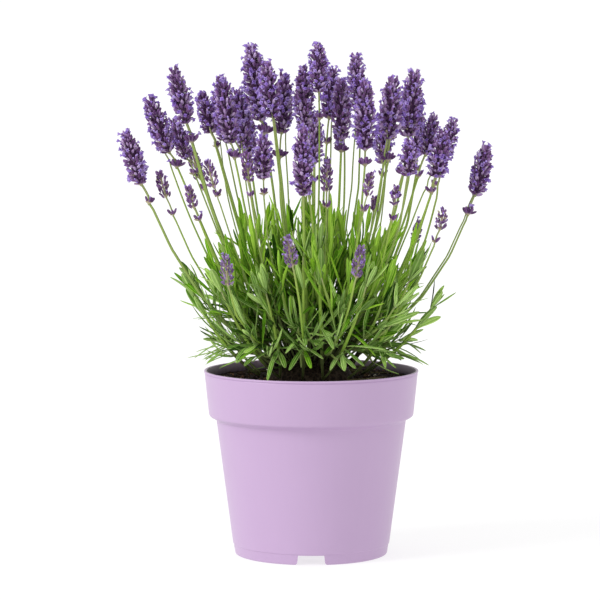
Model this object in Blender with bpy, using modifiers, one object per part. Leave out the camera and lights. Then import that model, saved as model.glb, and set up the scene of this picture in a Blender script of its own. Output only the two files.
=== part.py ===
"""A lavender in flower, in its round nursery pot.

The origin is on the pot's axis, on the surface that the pot stands on. +Z is up
and +Y points to the back. Sizes below are in millimetres; Blender gets metres.
"""

import math
from dataclasses import dataclass

import bmesh
import bpy
import numpy as np
from mathutils import Vector, noise

MM = 0.001
CLEAR = 0.35  # left between pieces that touch

# Pot
POT_HEIGHT = 112.0
RIM_RADIUS = 65.0
LIP_HEIGHT = 2.0
LIP_STEP = 0.5
COLLAR_LOW_RADIUS = 62.0
COLLAR_LOW_Z = 84.6
BODY_TOP_RADIUS = 57.4
BODY_TOP_Z = 81.8
FOOT_Z = 6.6
BODY_LOW_RADIUS = 47.6
FOOT_RADIUS = 46.2
FOOT_WIDTH = 3.0
UNDERSIDE_Z = 6.2
FLOOR_Z = 8.0
WALL = 1.6
NOTCH_WIDTH = 16.6
NOTCH_HEIGHT = 6.0
NOTCH_COUNT = 3
DRAIN_RADIUS = 4.5
DRAIN_CIRCLE = 31.0
POT_STEPS = 48

# Compost and woody base
COMPOST_Z = 106.5
COMPOST_STEPS = 40
CROWN_RADIUS = 26.0
CROWN_HEIGHT = 11.0
CROWN_SEAT_Z = 105.0
CROWN_EDGE = 1.5  # height of the crown's upright edge
CROWN_KNOT = 6.0
SEAT_RADIUS = 28.5
COMPOST_GRAIN = 9.0
COMPOST_RIPPLE = 0.5

# Flowering stalks
STALK_SPREAD = 21.0  # radius on the crown of the outermost stalk's foot
STEM_LOW_RADIUS = 1.15
STEM_HIGH_RADIUS = 0.8
MOST_FOOT_LEAN = math.radians(62)
WHORL_SHARE = 0.62  # width of the separate whorl, to that of its spike
STALK_GAP = 0.7
SETTLE_ROUNDS = 160

# Leafy shoots
OUTER_SHOOTS = 8
INNER_SHOOTS = 5
SHOOT_RADIUS = 1.3
LEAF_HALF_WIDTH = 2.1
LEAF_HALF_THICKNESS = 0.55
LEAF_GAP = 0.6
LEAF_REACH = 88.0  # farthest that a leaf tip stands from the axis
POURING_GAP = 4.5  # height above the rim that the leaves leave free


@dataclass(frozen=True)
class Spike:
    """A flower spike: where its tip is, its size, how far it leans to the right for
    each millimetre of height, and the bare stem down to its separate lower whorl,
    which is 0 where there is none."""

    tip: tuple
    length: float
    width: float
    lean: float
    bare: float


# Left to right, then the low ones at the front, then the row at the back.
SPIKES = (
    Spike((-110, -45, 258), 33, 13, -0.34, 11),
    Spike((-91, -30, 234), 17, 8, -0.33, 9),
    Spike((-100, 14, 277), 37, 14, -0.44, 8),
    Spike((-86, 44, 263), 26, 11, -0.42, 9),
    Spike((-76, 60, 246), 22, 9, -0.35, 6),
    Spike((-83, -8, 295), 35, 13, -0.26, 9),
    Spike((-73, -46, 226), 15, 7, -0.33, 6),
    Spike((-68, 26, 280), 27, 12, -0.31, 8),
    Spike((-62, -40, 241), 17, 9, -0.30, 5),
    Spike((-54, -20, 290), 40, 14, -0.17, 9),
    Spike((-59, 50, 280), 32, 12, -0.20, 0),
    Spike((-45, 10, 282), 37, 12, -0.13, 10),
    Spike((-38, -58, 247), 19, 8, -0.09, 7),
    Spike((-37, 2, 309), 46, 16, -0.17, 7),
    Spike((-27, -28, 299), 35, 13, -0.14, 0),
    Spike((-16, 26, 291), 36, 13, 0.07, 15),
    Spike((-28, -56, 256), 27, 12, 0.00, 8),
    Spike((-5, -4, 296), 39, 13, -0.03, 0),
    Spike((-5, -66, 260), 40, 13, -0.01, 0),
    Spike((4, -14, 310), 30, 12, -0.02, 14),
    Spike((13, 22, 295), 31, 12, 0.08, 14),
    Spike((9, -52, 242), 20, 8, 0.00, 9),
    Spike((18, 2, 289), 37, 13, 0.00, 6),
    Spike((27, 44, 304), 37, 12, -0.07, 10),
    Spike((32, -30, 287), 41, 14, 0.00, 8),
    Spike((35, -62, 235), 16, 7, 0.19, 7),
    Spike((40, 62, 215), 11, 5, 0.12, 0),
    Spike((49, -10, 290), 38, 15, 0.06, 12),
    Spike((63, 18, 294), 42, 15, 0.10, 22),
    Spike((67, 60, 270), 31, 11, 0.04, 8),
    Spike((58, -44, 253), 21, 12, 0.06, 0),
    Spike((50, -58, 227), 14, 6, 0.12, 5),
    Spike((76, 30, 266), 25, 11, 0.28, 13),
    Spike((79, -28, 258), 29, 13, 0.20, 8),
    Spike((87, 12, 264), 28, 11, 0.30, 14),
    Spike((109, 45, 247), 32, 13, 0.28, 13),
    Spike((79, -34, 212), 14, 8, 0.26, 7),
    Spike((68, 66, 199), 15, 7, 0.26, 0),
    Spike((-50, -74, 187), 19, 9, -0.10, 0),
    Spike((-14, -94, 199), 19, 9, -0.20, 0),
    Spike((29, -84, 193), 20, 8, 0.17, 0),
    Spike((-42, 82, 272), 35, 12, -0.11, 9),
    Spike((2, 92, 266), 34, 12, 0.00, 10),
    Spike((46, 84, 269), 35, 12, 0.03, 9),
)
SPIKE_REACH = 110.0  # how far out the outermost spikes stand
BACK_LEAN = 0.004  # lean to the front or back, for each millimetre out


def clear_scene():
    """Removes every object that the scene opened with."""
    for obj in list(bpy.data.objects):
        bpy.data.objects.remove(obj, do_unlink=True)


def new_collection(name):
    """Adds a collection to the scene."""
    collection = bpy.data.collections.new(name)
    bpy.context.scene.collection.children.link(collection)
    return collection


def finish(name, colour, roughness, metallic=0.0):
    """A Principled material with one colour."""
    material = bpy.data.materials.new(name)
    material.use_nodes = True
    shader = material.node_tree.nodes["Principled BSDF"]
    shader.inputs["Base Color"].default_value = (*colour, 1.0)
    shader.inputs["Roughness"].default_value = roughness
    shader.inputs["Metallic"].default_value = metallic
    return material


def place(obj, collection, material):
    """Puts an object in its collection, with one material and smooth shading."""
    for user in list(obj.users_collection):
        user.objects.unlink(obj)
    collection.objects.link(obj)
    obj.data.materials.clear()
    obj.data.materials.append(material)
    if obj.type == "MESH":
        obj.data.shade_smooth()
        obj.data.set_sharp_from_angle(angle=math.radians(35))
    return obj


def as_mesh(obj):
    """Turns an object into a mesh object of the same name, with its modifiers applied."""
    bpy.context.view_layer.update()
    graph = bpy.context.evaluated_depsgraph_get()
    mesh = bpy.data.meshes.new_from_object(obj.evaluated_get(graph))
    made = bpy.data.objects.new("made", mesh)
    bpy.context.scene.collection.objects.link(made)
    made.matrix_world = obj.matrix_world.copy()
    name = obj.name
    bpy.data.objects.remove(obj, do_unlink=True)
    made.name = name
    return made


def welded(obj):
    """Joins the loose caps of a mesh made from a curve."""
    cage = bmesh.new()
    cage.from_mesh(obj.data)
    bmesh.ops.remove_doubles(cage, verts=cage.verts, dist=1e-6)
    cage.to_mesh(obj.data)
    cage.free()
    return obj


def rounded(corners):
    """Points of an outline whose corners (r, z, radius) are eased by that radius."""
    points = []
    for i, (r, z, radius) in enumerate(corners):
        if not radius or i in (0, len(corners) - 1):
            points.append((r, z))
            continue
        corner = Vector((r, z))
        before = (Vector(corners[i - 1][:2]) - corner).normalized()
        after = (Vector(corners[i + 1][:2]) - corner).normalized()
        half = before.angle(after) / 2
        back = radius / math.tan(half)
        centre = corner + (before + after).normalized() * radius / math.sin(half)
        start = corner + before * back - centre
        end = corner + after * back - centre
        steps = 1 if radius < 0.9 else 2
        for k in range(steps + 1):
            turned = start.lerp(end, k / steps).normalized() * radius
            points.append(tuple(centre + turned))
    return points


def turned(name, points, steps):
    """A solid turned from an outline that runs from the axis, down the outside, to the axis."""
    mesh = bpy.data.meshes.new(name)
    verts = [(r * MM, 0, z * MM) for r, z in points]
    mesh.from_pydata(verts, [(i, i + 1) for i in range(len(verts) - 1)], [])
    obj = bpy.data.objects.new(name, mesh)
    bpy.context.scene.collection.objects.link(obj)
    screw = obj.modifiers.new("turn", "SCREW")
    screw.angle = math.tau
    screw.steps = screw.render_steps = steps
    screw.use_merge_vertices = True
    screw.merge_threshold = 1e-6
    return as_mesh(obj)


def cutter(obj, collection):
    """Hides a cutter from renders and shows it as wire."""
    for user in list(obj.users_collection):
        user.objects.unlink(obj)
    collection.objects.link(obj)
    obj.hide_render = True
    obj.display_type = "WIRE"
    return obj


def inner_wall(clearance=0.0):
    """The inside of the pot as outline corners, from its floor to its rim."""
    wall = WALL + clearance
    return [
        (BODY_LOW_RADIUS - wall - 0.6, FLOOR_Z + clearance, 2.0),
        (BODY_TOP_RADIUS - wall, BODY_TOP_Z + 1.0 + clearance, 0.8),
        (COLLAR_LOW_RADIUS - wall, COLLAR_LOW_Z + 2.0 + clearance, 0.8),
        (RIM_RADIUS - LIP_STEP - wall + 0.4, POT_HEIGHT, 0.4),
    ]


def build_pot(parts, cutters):
    """The pot: lip, collar, tapered body and a foot ring with drainage notches."""
    outline = [
        (0, FLOOR_Z, 0),
        *inner_wall(),
        (RIM_RADIUS, POT_HEIGHT, 0.5),
        (RIM_RADIUS, POT_HEIGHT - LIP_HEIGHT, 0),
        (RIM_RADIUS - LIP_STEP, POT_HEIGHT - LIP_HEIGHT - LIP_STEP, 0),
        (COLLAR_LOW_RADIUS, COLLAR_LOW_Z, 1.2),
        (BODY_TOP_RADIUS, BODY_TOP_Z, 0.6),
        (BODY_LOW_RADIUS, FOOT_Z, 0),
        (BODY_LOW_RADIUS - 0.4, FOOT_Z - 0.4, 0),
        (FOOT_RADIUS, 0, 1.2),
        (FOOT_RADIUS - FOOT_WIDTH, 0, 0.4),
        (FOOT_RADIUS - FOOT_WIDTH + 0.4, UNDERSIDE_Z, 0.5),
        (0, UNDERSIDE_Z, 0),
    ]
    pot = turned("nursery_pot", rounded(outline), POT_STEPS)
    material = finish("lilac plastic", (0.56, 0.42, 0.66), 0.45)
    place(pot, parts, material)
    for i in range(NOTCH_COUNT):
        turn = math.tau * (i / NOTCH_COUNT - 0.25)
        out = Vector((math.cos(turn), math.sin(turn), 0))
        bpy.ops.mesh.primitive_cube_add(size=1, rotation=(0, 0, turn))
        notch = bpy.context.object
        notch.name = f"notch_cutter_{i + 1}"
        notch.scale = (14 * MM, NOTCH_WIDTH * MM, 2 * NOTCH_HEIGHT * MM)
        notch.location = out * (FOOT_RADIUS - 1) * MM
        bpy.ops.mesh.primitive_cylinder_add(
            vertices=16, radius=DRAIN_RADIUS * MM, depth=8 * MM
        )
        drain = bpy.context.object
        drain.name = f"drain_cutter_{i + 1}"
        drain.location = out * DRAIN_CIRCLE * MM + Vector((0, 0, FLOOR_Z * MM))
        for tool in (notch, drain):
            cut = pot.modifiers.new(tool.name, "BOOLEAN")
            cut.operation = "DIFFERENCE"
            cut.object = cutter(tool, cutters)


def build_compost(parts):
    """The compost, which fills the pot to a little below its rim, with a seat for the plant."""
    *wall, (rim, _, _) = inner_wall(CLEAR)
    shoulder, shoulder_z, _ = wall[-1]
    share = (POT_HEIGHT - COMPOST_Z) / (POT_HEIGHT - shoulder_z)
    edge = rim - CLEAR + (shoulder - rim) * share
    outline = [
        (0, CROWN_SEAT_Z, 0),
        (SEAT_RADIUS - 2, CROWN_SEAT_Z, 0),
        (SEAT_RADIUS, COMPOST_Z, 0),
        *((out, COMPOST_Z, 0) for out in (36, 44, 52)),
        (edge - 0.8, COMPOST_Z, 0),
        (edge, COMPOST_Z - 0.8, 0),
        *reversed(wall),
        (0, FLOOR_Z + CLEAR, 0),
    ]
    compost = turned("compost", rounded(outline), COMPOST_STEPS)
    for vertex in compost.data.vertices:
        out = math.hypot(vertex.co.x, vertex.co.y) / MM
        if vertex.co.z > (COMPOST_Z - 0.2) * MM and SEAT_RADIUS + 1 < out < edge - 1.5:
            ripple = noise.noise(vertex.co / (COMPOST_GRAIN * MM))
            vertex.co.z += COMPOST_RIPPLE * ripple * MM
    place(compost, parts, finish("compost", (0.035, 0.022, 0.016), 0.95))


def crown_top(out):
    """Height of the crown's top at a distance from the axis."""
    share = min(out / CROWN_RADIUS, 1.0)
    return CROWN_SEAT_Z + CLEAR + CROWN_EDGE + CROWN_HEIGHT * math.sqrt(1 - share**2)


def build_crown(parts):
    """The woody base that every stem grows from: a low knotted dome."""
    rings = 7
    bottom = CROWN_SEAT_Z + CLEAR
    dome = []
    for i in range(rings):
        out = CROWN_RADIUS * math.sin(math.pi / 2 * i / (rings - 1))
        dome.append((out, crown_top(out)))
    dome += [(CROWN_RADIUS - 1, bottom), (0, bottom)]
    crown = turned("woody_crown", dome, 24)
    for vertex in crown.data.vertices:
        if vertex.co.z > (bottom + 1) * MM:
            knot = abs(noise.noise(vertex.co / (CROWN_KNOT * MM)))
            vertex.co.z -= 1.1 * knot * MM
            vertex.co.x *= 1 - 0.05 * knot
            vertex.co.y *= 1 - 0.05 * knot
    place(crown, parts, finish("old wood", (0.16, 0.10, 0.06), 0.9))


def unit(vector):
    """A vector's direction."""
    return vector / np.linalg.norm(vector)


def bezier(points, shares):
    """Points of a cubic Bezier curve at these shares of its run."""
    t = np.asarray(shares, float)[:, None]
    a, b, c, d = points
    return (1 - t) ** 3 * a + 3 * (1 - t) ** 2 * t * b + 3 * (1 - t) * t**2 * c + t**3 * d


def closest(p, q, u, v):
    """Shares along segments p-q and u-v of their closest points, row by row."""
    first, second, between = q - p, v - u, p - u
    a = np.maximum((first * first).sum(1), 1e-12)
    e = np.maximum((second * second).sum(1), 1e-12)
    b = (first * second).sum(1)
    c = (first * between).sum(1)
    f = (second * between).sum(1)
    denominator = a * e - b * b
    flat = denominator < 1e-9
    s = np.where(flat, 0.0, (b * f - c * e) / np.where(flat, 1.0, denominator)).clip(0, 1)
    t = (b * s + f) / e
    s = np.where(t < 0, (-c / a).clip(0, 1), np.where(t > 1, ((b - c) / a).clip(0, 1), s))
    return s, t.clip(0, 1)


@dataclass
class Rods:
    """Tapered rods that stand for pieces of stem, spike or leaf when room is looked for."""

    start: np.ndarray
    end: np.ndarray
    start_radius: np.ndarray
    end_radius: np.ndarray
    owner: np.ndarray

    @classmethod
    def along(cls, path, radii, owner):
        """The rods between one line's points."""
        path, radii = np.asarray(path, float), np.asarray(radii, float)
        owners = np.full(len(path) - 1, owner)
        return cls(path[:-1], path[1:], radii[:-1], radii[1:], owners)

    @classmethod
    def of(cls, groups):
        """Several groups of rods as one."""
        names = ("start", "end", "start_radius", "end_radius", "owner")
        return cls(*(np.concatenate([getattr(g, n) for g in groups]) for n in names))

    def pairs(self, other, reach):
        """Rows of self and of other that lie near each other and belong to different pieces."""
        mine, theirs = (self.start + self.end) / 2, (other.start + other.end) / 2
        apart = np.linalg.norm(mine[:, None] - theirs[None], axis=2)
        half = np.linalg.norm(self.end - self.start, axis=1) / 2 + self.start_radius
        far = np.linalg.norm(other.end - other.start, axis=1) / 2 + other.start_radius
        near = apart < half[:, None] + far[None] + 2 * reach
        return np.nonzero(near & (self.owner[:, None] != other.owner[None]))

    def room(self, other, reach):
        """How much space each near pair leaves, with its rows, closest shares and points."""
        i, j = self.pairs(other, reach)
        s, t = closest(self.start[i], self.end[i], other.start[j], other.end[j])
        here = self.start[i] + (self.end[i] - self.start[i]) * s[:, None]
        there = other.start[j] + (other.end[j] - other.start[j]) * t[:, None]
        thick = self.start_radius[i] + (self.end_radius[i] - self.start_radius[i]) * s
        thick += other.start_radius[j] + (other.end_radius[j] - other.start_radius[j]) * t
        left = np.linalg.norm(here - there, axis=1) - thick
        return left, i, j, here, there

    def least_room(self, other):
        """The least space between these rods and other ones, or a large number."""
        left = self.room(other, 6.0)[0]
        return left.min() if len(left) else math.inf


class Stalk:
    """One flowering stem, from its foot on the crown to the tip of its spike."""

    SPIKE_SHAPE = ((0.0, 0.5), (0.16, 0.92), (0.5, 1.0), (0.84, 0.72), (1.0, 0.2))
    WHORL_SHAPE = ((-3.2, None), (-1.0, 1.0), (2.2, 0.75), (4.0, None))

    def __init__(self, spike):
        self.spike = spike
        x, y, _ = spike.tip
        out = math.hypot(x, y)
        foot = STALK_SPREAD * (out / SPIKE_REACH) ** 0.8
        self.foot = np.array([x, y]) / max(out, 1) * foot
        self.bow = np.zeros(2)
        self.step_back = 0.0

    def spike_ends(self):
        """The base and the tip of the spike."""
        x, y, z = self.spike.tip
        lean = np.array([self.spike.lean, BACK_LEAN * y, 1.0])
        tip = np.array([x, y + self.step_back, z], float)
        return tip - unit(lean) * self.spike.length, tip

    def stem_curve(self):
        """The stem's Bezier points, from the crown to the spike."""
        base, tip = self.spike_ends()
        out = np.linalg.norm(self.foot)
        start = np.array([*self.foot, crown_top(out) + 0.9])
        chord = base - start
        length = np.linalg.norm(chord)
        aside = np.linalg.norm(chord[:2])
        lean = min(1.45 * math.atan2(aside, chord[2]), MOST_FOOT_LEAN)
        rise = np.array([*(chord[:2] / max(aside, 1e-6) * math.sin(lean)), math.cos(lean)])
        sideways = np.array([*self.bow, 0.0])
        first = start + rise * length * 0.33 + sideways
        second = base - unit(tip - base) * length * 0.42 + sideways
        return start, first, second, base

    def outline(self):
        """Points from foot to tip and the radius at each."""
        base, tip = self.spike_ends()
        shares = np.linspace(0, 1, 41)
        dense = bezier(self.stem_curve(), shares)
        run = np.concatenate([[0], np.cumsum(np.linalg.norm(np.diff(dense, axis=0), axis=1))])
        spike = self.spike
        stops = [(run[-1] * s, None) for s in (0, 0.24, 0.48)]
        if spike.bare:
            stops += [(run[-1] * 0.7, None)]
            wide = WHORL_SHARE * spike.width / 2
            middle = run[-1] - spike.bare
            stops += [(middle + d, r and r * wide) for d, r in self.WHORL_SHAPE]
        else:
            stops += [(run[-1] * 0.76, None)]
        stops += [(run[-1] - 1.0, None)]
        path, radii = [], []
        for at, radius in stops:
            path.append([np.interp(at, run, dense[:, k]) for k in range(3)])
            share = at / run[-1]
            thin = STEM_LOW_RADIUS + (STEM_HIGH_RADIUS - STEM_LOW_RADIUS) * share
            radii.append(radius or thin)
        for share, wide in self.SPIKE_SHAPE:
            path.append(base + (tip - base) * share)
            radii.append(wide * spike.width / 2)
        return np.array(path), np.array(radii)

    def nudge(self, point, push):
        """Moves the stalk so that a point of it goes about this far. A spike only steps back."""
        base, _ = self.spike_ends()
        start = crown_top(np.linalg.norm(self.foot))
        share = min(max((point[2] - start) / (base[2] - start), 0.0), 1.0)
        self.foot += (1 - share) ** 2 * push[:2]
        self.bow += 4 * share * (1 - share) * push[:2]
        self.step_back += share**2 * push[1]
        out = np.linalg.norm(self.foot)
        self.foot *= min(1.0, (STALK_SPREAD + 2.5) / max(out, 1e-6))


def rods_of(stalks):
    """The rods of all stalks."""
    return Rods.of([Rods.along(*stalk.outline(), i) for i, stalk in enumerate(stalks)])


def settle(stalks):
    """Nudges the stalks apart until each has room round it."""
    for _ in range(SETTLE_ROUNDS):
        rods = rods_of(stalks)
        left, i, j, here, there = rods.room(rods, 3.0)
        tight = np.nonzero((left < STALK_GAP) & (i < j))[0]
        if not len(tight):
            return
        for k in tight:
            a, b = rods.owner[i[k]], rods.owner[j[k]]
            apart = (here[k] - there[k])[:2]
            if np.linalg.norm(apart) < 0.05:
                apart = np.array([0.05, 0.1 if a < b else -0.1])
            push = unit(apart) * (STALK_GAP - left[k] + 0.05) * 0.3
            stalks[a].nudge(here[k], push)
            stalks[b].nudge(there[k], -push)


def tube(name, path, radii, sides_step, profile=None):
    """A tube along a line, with its own radius at each point, as a capped curve object."""
    curve = bpy.data.curves.new(name, "CURVE")
    curve.dimensions = "3D"
    curve.twist_mode = "Z_UP"
    if profile is None:
        curve.bevel_depth = MM
        curve.bevel_resolution = sides_step
    else:
        curve.bevel_mode = "OBJECT"
        curve.bevel_object = profile
    curve.use_fill_caps = True
    spline = curve.splines.new("POLY")
    spline.points.add(len(path) - 1)
    for point, place_, radius in zip(spline.points, path, radii):
        point.co = (*(np.asarray(place_) * MM), 1.0)
        point.radius = radius
    obj = bpy.data.objects.new(name, curve)
    bpy.context.scene.collection.objects.link(obj)
    return obj


def build_stalks(parts):
    """Every flowering stalk. Returns their rods, which the leaves keep clear of."""
    stalks = [Stalk(spike) for spike in SPIKES]
    settle(stalks)
    material = finish("flower spike", (0.13, 0.07, 0.24), 0.8)
    for i, stalk in enumerate(stalks):
        path, radii = stalk.outline()
        stem = tube(f"flower_stalk_{i + 1:02d}", path, radii, 1)
        place(stem, parts, material)
    return rods_of(stalks)


@dataclass(frozen=True)
class ShootPlan:
    """Where a leafy shoot goes: its bearing, its foot's distance from the axis, how far
    from upright it starts and ends, its length and how wide its leaves spread."""

    bearing: float
    foot: float
    start_lean: float
    end_lean: float
    length: float
    spread: float


def shoot_plans():
    """The outer shoots, which lie outwards, then the inner ones, which stand up."""
    plans = []
    for i in range(OUTER_SHOOTS):
        wave = math.sin(2.4 * i)
        plans.append(
            ShootPlan(360 / OUTER_SHOOTS * (i + 0.5), 22.5, 62, 44 + 10 * wave, 52 + 5 * wave, 62)
        )
    for i in range(INNER_SHOOTS):
        wave = math.cos(1.9 * i)
        plans.append(
            ShootPlan(360 / INNER_SHOOTS * i + 20, 13, 34 + 5 * wave, 16, 66 + 7 * wave, 38)
        )
    return plans


def shoot_path(plan, turn, lean):
    """The points of a shoot's stem."""
    bearing = math.radians(plan.bearing + turn)
    out = np.array([math.cos(bearing), math.sin(bearing), 0.0])
    up = np.array([0.0, 0.0, 1.0])
    point = out * plan.foot + up * (crown_top(plan.foot) + 1.2)
    path = [point]
    pieces = 4
    for i in range(pieces):
        share = i / (pieces - 1)
        angle = math.radians(plan.start_lean + lean + share * (plan.end_lean - plan.start_lean))
        point = point + (out * math.sin(angle) + up * math.cos(angle)) * plan.length / pieces
        path.append(point)
    return np.array(path)


def find_stem(plan, taken):
    """A stem for this plan that has room among what is already there."""
    tries = [(t, l) for l in (0, -6, 6, -12, 12) for t in (0, 4, -4, 8, -8, 12, -12, 16, -16)]
    radii = SHOOT_RADIUS * np.linspace(1.0, 0.75, 5)
    best = None
    for turn, lean in tries:
        path = shoot_path(plan, turn, lean)
        room = Rods.along(path, radii, -1).least_room(taken)
        if best is None or room > best[0]:
            best = (room, path)
        if room > LEAF_GAP:
            break
    return best[1], radii


def leaf_path(start, along, side, length, droop):
    """The midrib of a leaf, which bends with droop, and the blade's share of its width there."""
    stations = (0.0, 0.3, 0.7, 1.0)
    widths = (0.42, 1.0, 0.9, 0.25)
    path = [start]
    heading = unit(along + side)
    for a, b in zip(stations, stations[1:]):
        heading = unit(heading + np.array([0, 0, -droop]) * (b - a))
        path.append(path[-1] + heading * (b - a) * length)
    return np.array(path), np.array(widths)


def fits(path, radii, taken, own):
    """True if a leaf has room: above the pot, and clear of other pieces and of its own shoot."""
    out = np.hypot(path[:, 0], path[:, 1])
    low = path[:, 2] - radii
    over_pot = np.where(out > 40, POT_HEIGHT + POURING_GAP, COMPOST_Z + 3.0)
    if (low < over_pot)[1:].any() or out.max() > LEAF_REACH:
        return False
    blade = Rods.along(path, radii, -1)
    if blade.least_room(taken) < LEAF_GAP:
        return False
    free = Rods.along(path[1:], radii[1:], -1)
    return not own or free.least_room(Rods.of(own)) > LEAF_GAP


def leaves_of(path, plan, taken, index):
    """The leaves of one shoot, in pairs that turn a quarter round from pair to pair."""
    leaves, own = [], []
    stations = (0.34, 0.52, 0.7, 0.86, 0.99)
    for k, share in enumerate(stations):
        at = share * (len(path) - 1)
        low = min(int(at), len(path) - 2)
        along = unit(path[low + 1] - path[low])
        start = path[low] + (path[low + 1] - path[low]) * (at - low)
        across = unit(np.cross(along, [0.0, 0.0, 1.0]))
        over = np.cross(across, along)
        spread = math.radians(plan.spread * (1.0 - 0.35 * share))
        length = 37 - 9 * share
        for hand in (0, 1):
            for swing in (0, 18, -18, 36, -36, 54, -54):
                turn = math.radians(90 * k + 180 * hand + 25 * index + swing)
                side = (across * math.cos(turn) + over * math.sin(turn)) * math.tan(spread)
                midrib, widths = leaf_path(start, along, side, length, 0.012 * plan.spread)
                radii = widths * LEAF_HALF_WIDTH
                if fits(midrib, radii, taken, own):
                    leaves.append((midrib, widths))
                    own.append(Rods.along(midrib[1:], radii[1:], -2))
                    break
    return leaves


def blade_section(cutters):
    """The section that every leaf is swept with: a flat lens."""
    curve = bpy.data.curves.new("blade_section", "CURVE")
    curve.dimensions = "2D"
    spline = curve.splines.new("POLY")
    spline.points.add(3)
    corners = ((LEAF_HALF_WIDTH, 0), (0, -LEAF_HALF_THICKNESS))
    corners += tuple((-x, -y) for x, y in corners)
    for point, (x, y) in zip(spline.points, corners):
        point.co = (x * MM, y * MM, 0, 1)
    spline.use_cyclic_u = True
    return cutter(bpy.data.objects.new("blade_section", curve), cutters)


def join(base, others):
    """Unites meshes with a base mesh and returns the one that comes of it."""
    for i, other in enumerate(others):
        union = base.modifiers.new(f"leaf {i + 1}", "BOOLEAN")
        union.operation = "UNION"
        union.object = other
    made = as_mesh(base)
    for other in others:
        bpy.data.objects.remove(other, do_unlink=True)
    return made


def build_shoots(parts, cutters, taken):
    """Every leafy shoot, set one by one into the room that the others leave."""
    section = blade_section(cutters)
    material = finish("leaf", (0.17, 0.29, 0.08), 0.6)
    groups = [taken]
    for i, plan in enumerate(shoot_plans()):
        others = Rods.of(groups)
        path, radii = find_stem(plan, others)
        leaves = leaves_of(path, plan, others, i)
        stem = welded(as_mesh(tube(f"leafy_shoot_{i + 1:02d}", path, radii, 1)))
        blades = [
            welded(as_mesh(tube(f"leaf_{k}", midrib, widths, 0, section)))
            for k, (midrib, widths) in enumerate(leaves)
        ]
        place(join(stem, blades), parts, material)
        owner = 1000 + i
        groups.append(Rods.along(path, radii, owner))
        for midrib, widths in leaves:
            groups.append(Rods.along(midrib, widths * LEAF_HALF_WIDTH, owner))


def main():
    """Builds the potted lavender from the pot up."""
    clear_scene()
    parts = new_collection("potted_lavender")
    cutters = new_collection("cutters")
    build_pot(parts, cutters)
    build_compost(parts)
    build_crown(parts)
    taken = build_stalks(parts)
    build_shoots(parts, cutters, taken)


main()
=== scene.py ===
"""The looks of a potted lavender: a lilac nursery pot, its compost, a woody crown,
leafy sprigs and flower stalks, each dressed in a finish made of shader nodes.

Everything is in metres. The origin is on the pot's axis, on the surface that it
stands on, +Z is up and +Y points to the back.
"""

import logging
import math
from abc import ABC, abstractmethod
from dataclasses import dataclass, field, fields, replace
from enum import Enum
from functools import cache

import bmesh
import bpy
import numpy as np
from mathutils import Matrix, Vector, noise


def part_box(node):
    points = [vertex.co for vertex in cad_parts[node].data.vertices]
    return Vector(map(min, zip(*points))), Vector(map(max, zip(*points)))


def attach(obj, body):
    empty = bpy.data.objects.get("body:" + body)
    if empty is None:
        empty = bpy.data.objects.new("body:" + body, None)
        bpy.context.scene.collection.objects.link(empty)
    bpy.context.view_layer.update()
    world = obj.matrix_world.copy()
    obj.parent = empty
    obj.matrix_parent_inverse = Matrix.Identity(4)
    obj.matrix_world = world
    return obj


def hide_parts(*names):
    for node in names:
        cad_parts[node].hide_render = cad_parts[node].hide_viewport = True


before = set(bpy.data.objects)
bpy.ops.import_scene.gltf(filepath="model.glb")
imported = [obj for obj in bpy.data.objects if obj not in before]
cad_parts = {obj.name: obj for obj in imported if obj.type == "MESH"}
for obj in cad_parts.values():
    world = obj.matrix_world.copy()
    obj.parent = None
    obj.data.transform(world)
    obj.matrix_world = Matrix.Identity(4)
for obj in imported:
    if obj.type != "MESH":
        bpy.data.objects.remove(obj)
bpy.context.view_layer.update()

Array = np.ndarray
RGB = XYZ = tuple[float, float, float]
Object = bpy.types.Object
Socket = bpy.types.NodeSocket

LOG = logging.getLogger("potted_lavender")
MM = 0.001
EVEN = (1.0, 1.0, 1.0)
UP = np.array([0.0, 0.0, 1.0])
LEVEL = np.array([1.0, 1.0, 0.0])
GOLDEN_TURN = math.pi * (3 - math.sqrt(5))
BAKE_MAP = "OFBake"
STALK_SEED, STALK_SEED_STEP = 900, 7
LUMP_SIDES = 7
MOST_ROUNDED = 0.48


# Vectors


def unit(vectors: Array) -> Array:
    """Vectors of length one along the last axis."""
    return vectors / np.maximum(np.linalg.norm(vectors, axis=-1, keepdims=True), 1e-12)


def lengths(vectors: Array) -> Array:
    """The lengths of vectors along the last axis."""
    return np.linalg.norm(vectors, axis=-1)


def square_to(axis: Array, hint: Array) -> Array:
    """The part of each hint that is square to its axis, at length one."""
    return unit(hint - (hint * axis).sum(-1, keepdims=True) * axis)


def spun(axis: Array, start: Array, angle: Array | float) -> Array:
    """Vectors square to their axes, turned about them.

    Args:
        axis: Unit axes, as (..., 3).
        start: Unit vectors square to the axes.
        angle: How far to turn each, in radians.

    Returns:
        The turned vectors.
    """
    angle = np.asarray(angle)[..., None]
    return start * np.cos(angle) + np.cross(axis, start) * np.sin(angle)


def any_square(axis: Array) -> Array:
    """A unit vector square to each axis."""
    hint = np.where(np.abs(axis[..., 2:]) > 0.9, [1.0, 0.0, 0.0], UP)
    return square_to(axis, hint)


def compass(turn: Array | float) -> Array:
    """Level unit vectors in these directions, in radians from +X."""
    return np.stack([np.cos(turn), np.sin(turn), np.zeros_like(turn)], -1)


def full_turn(count: int) -> Array:
    """Even angles round a full turn."""
    return np.arange(count) / count * math.tau


def leaning(axis: Array, out: Array, angle: Array | float) -> Array:
    """Unit vectors that lean from an axis by an angle, towards a vector square to it."""
    return axis * np.cos(angle)[..., None] + out * np.sin(angle)[..., None]


def between(ends: tuple[float, float], share: Array | float) -> Array | float:
    """The number at this share of the way from the first of two to the second."""
    return ends[0] + (ends[1] - ends[0]) * share


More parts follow.
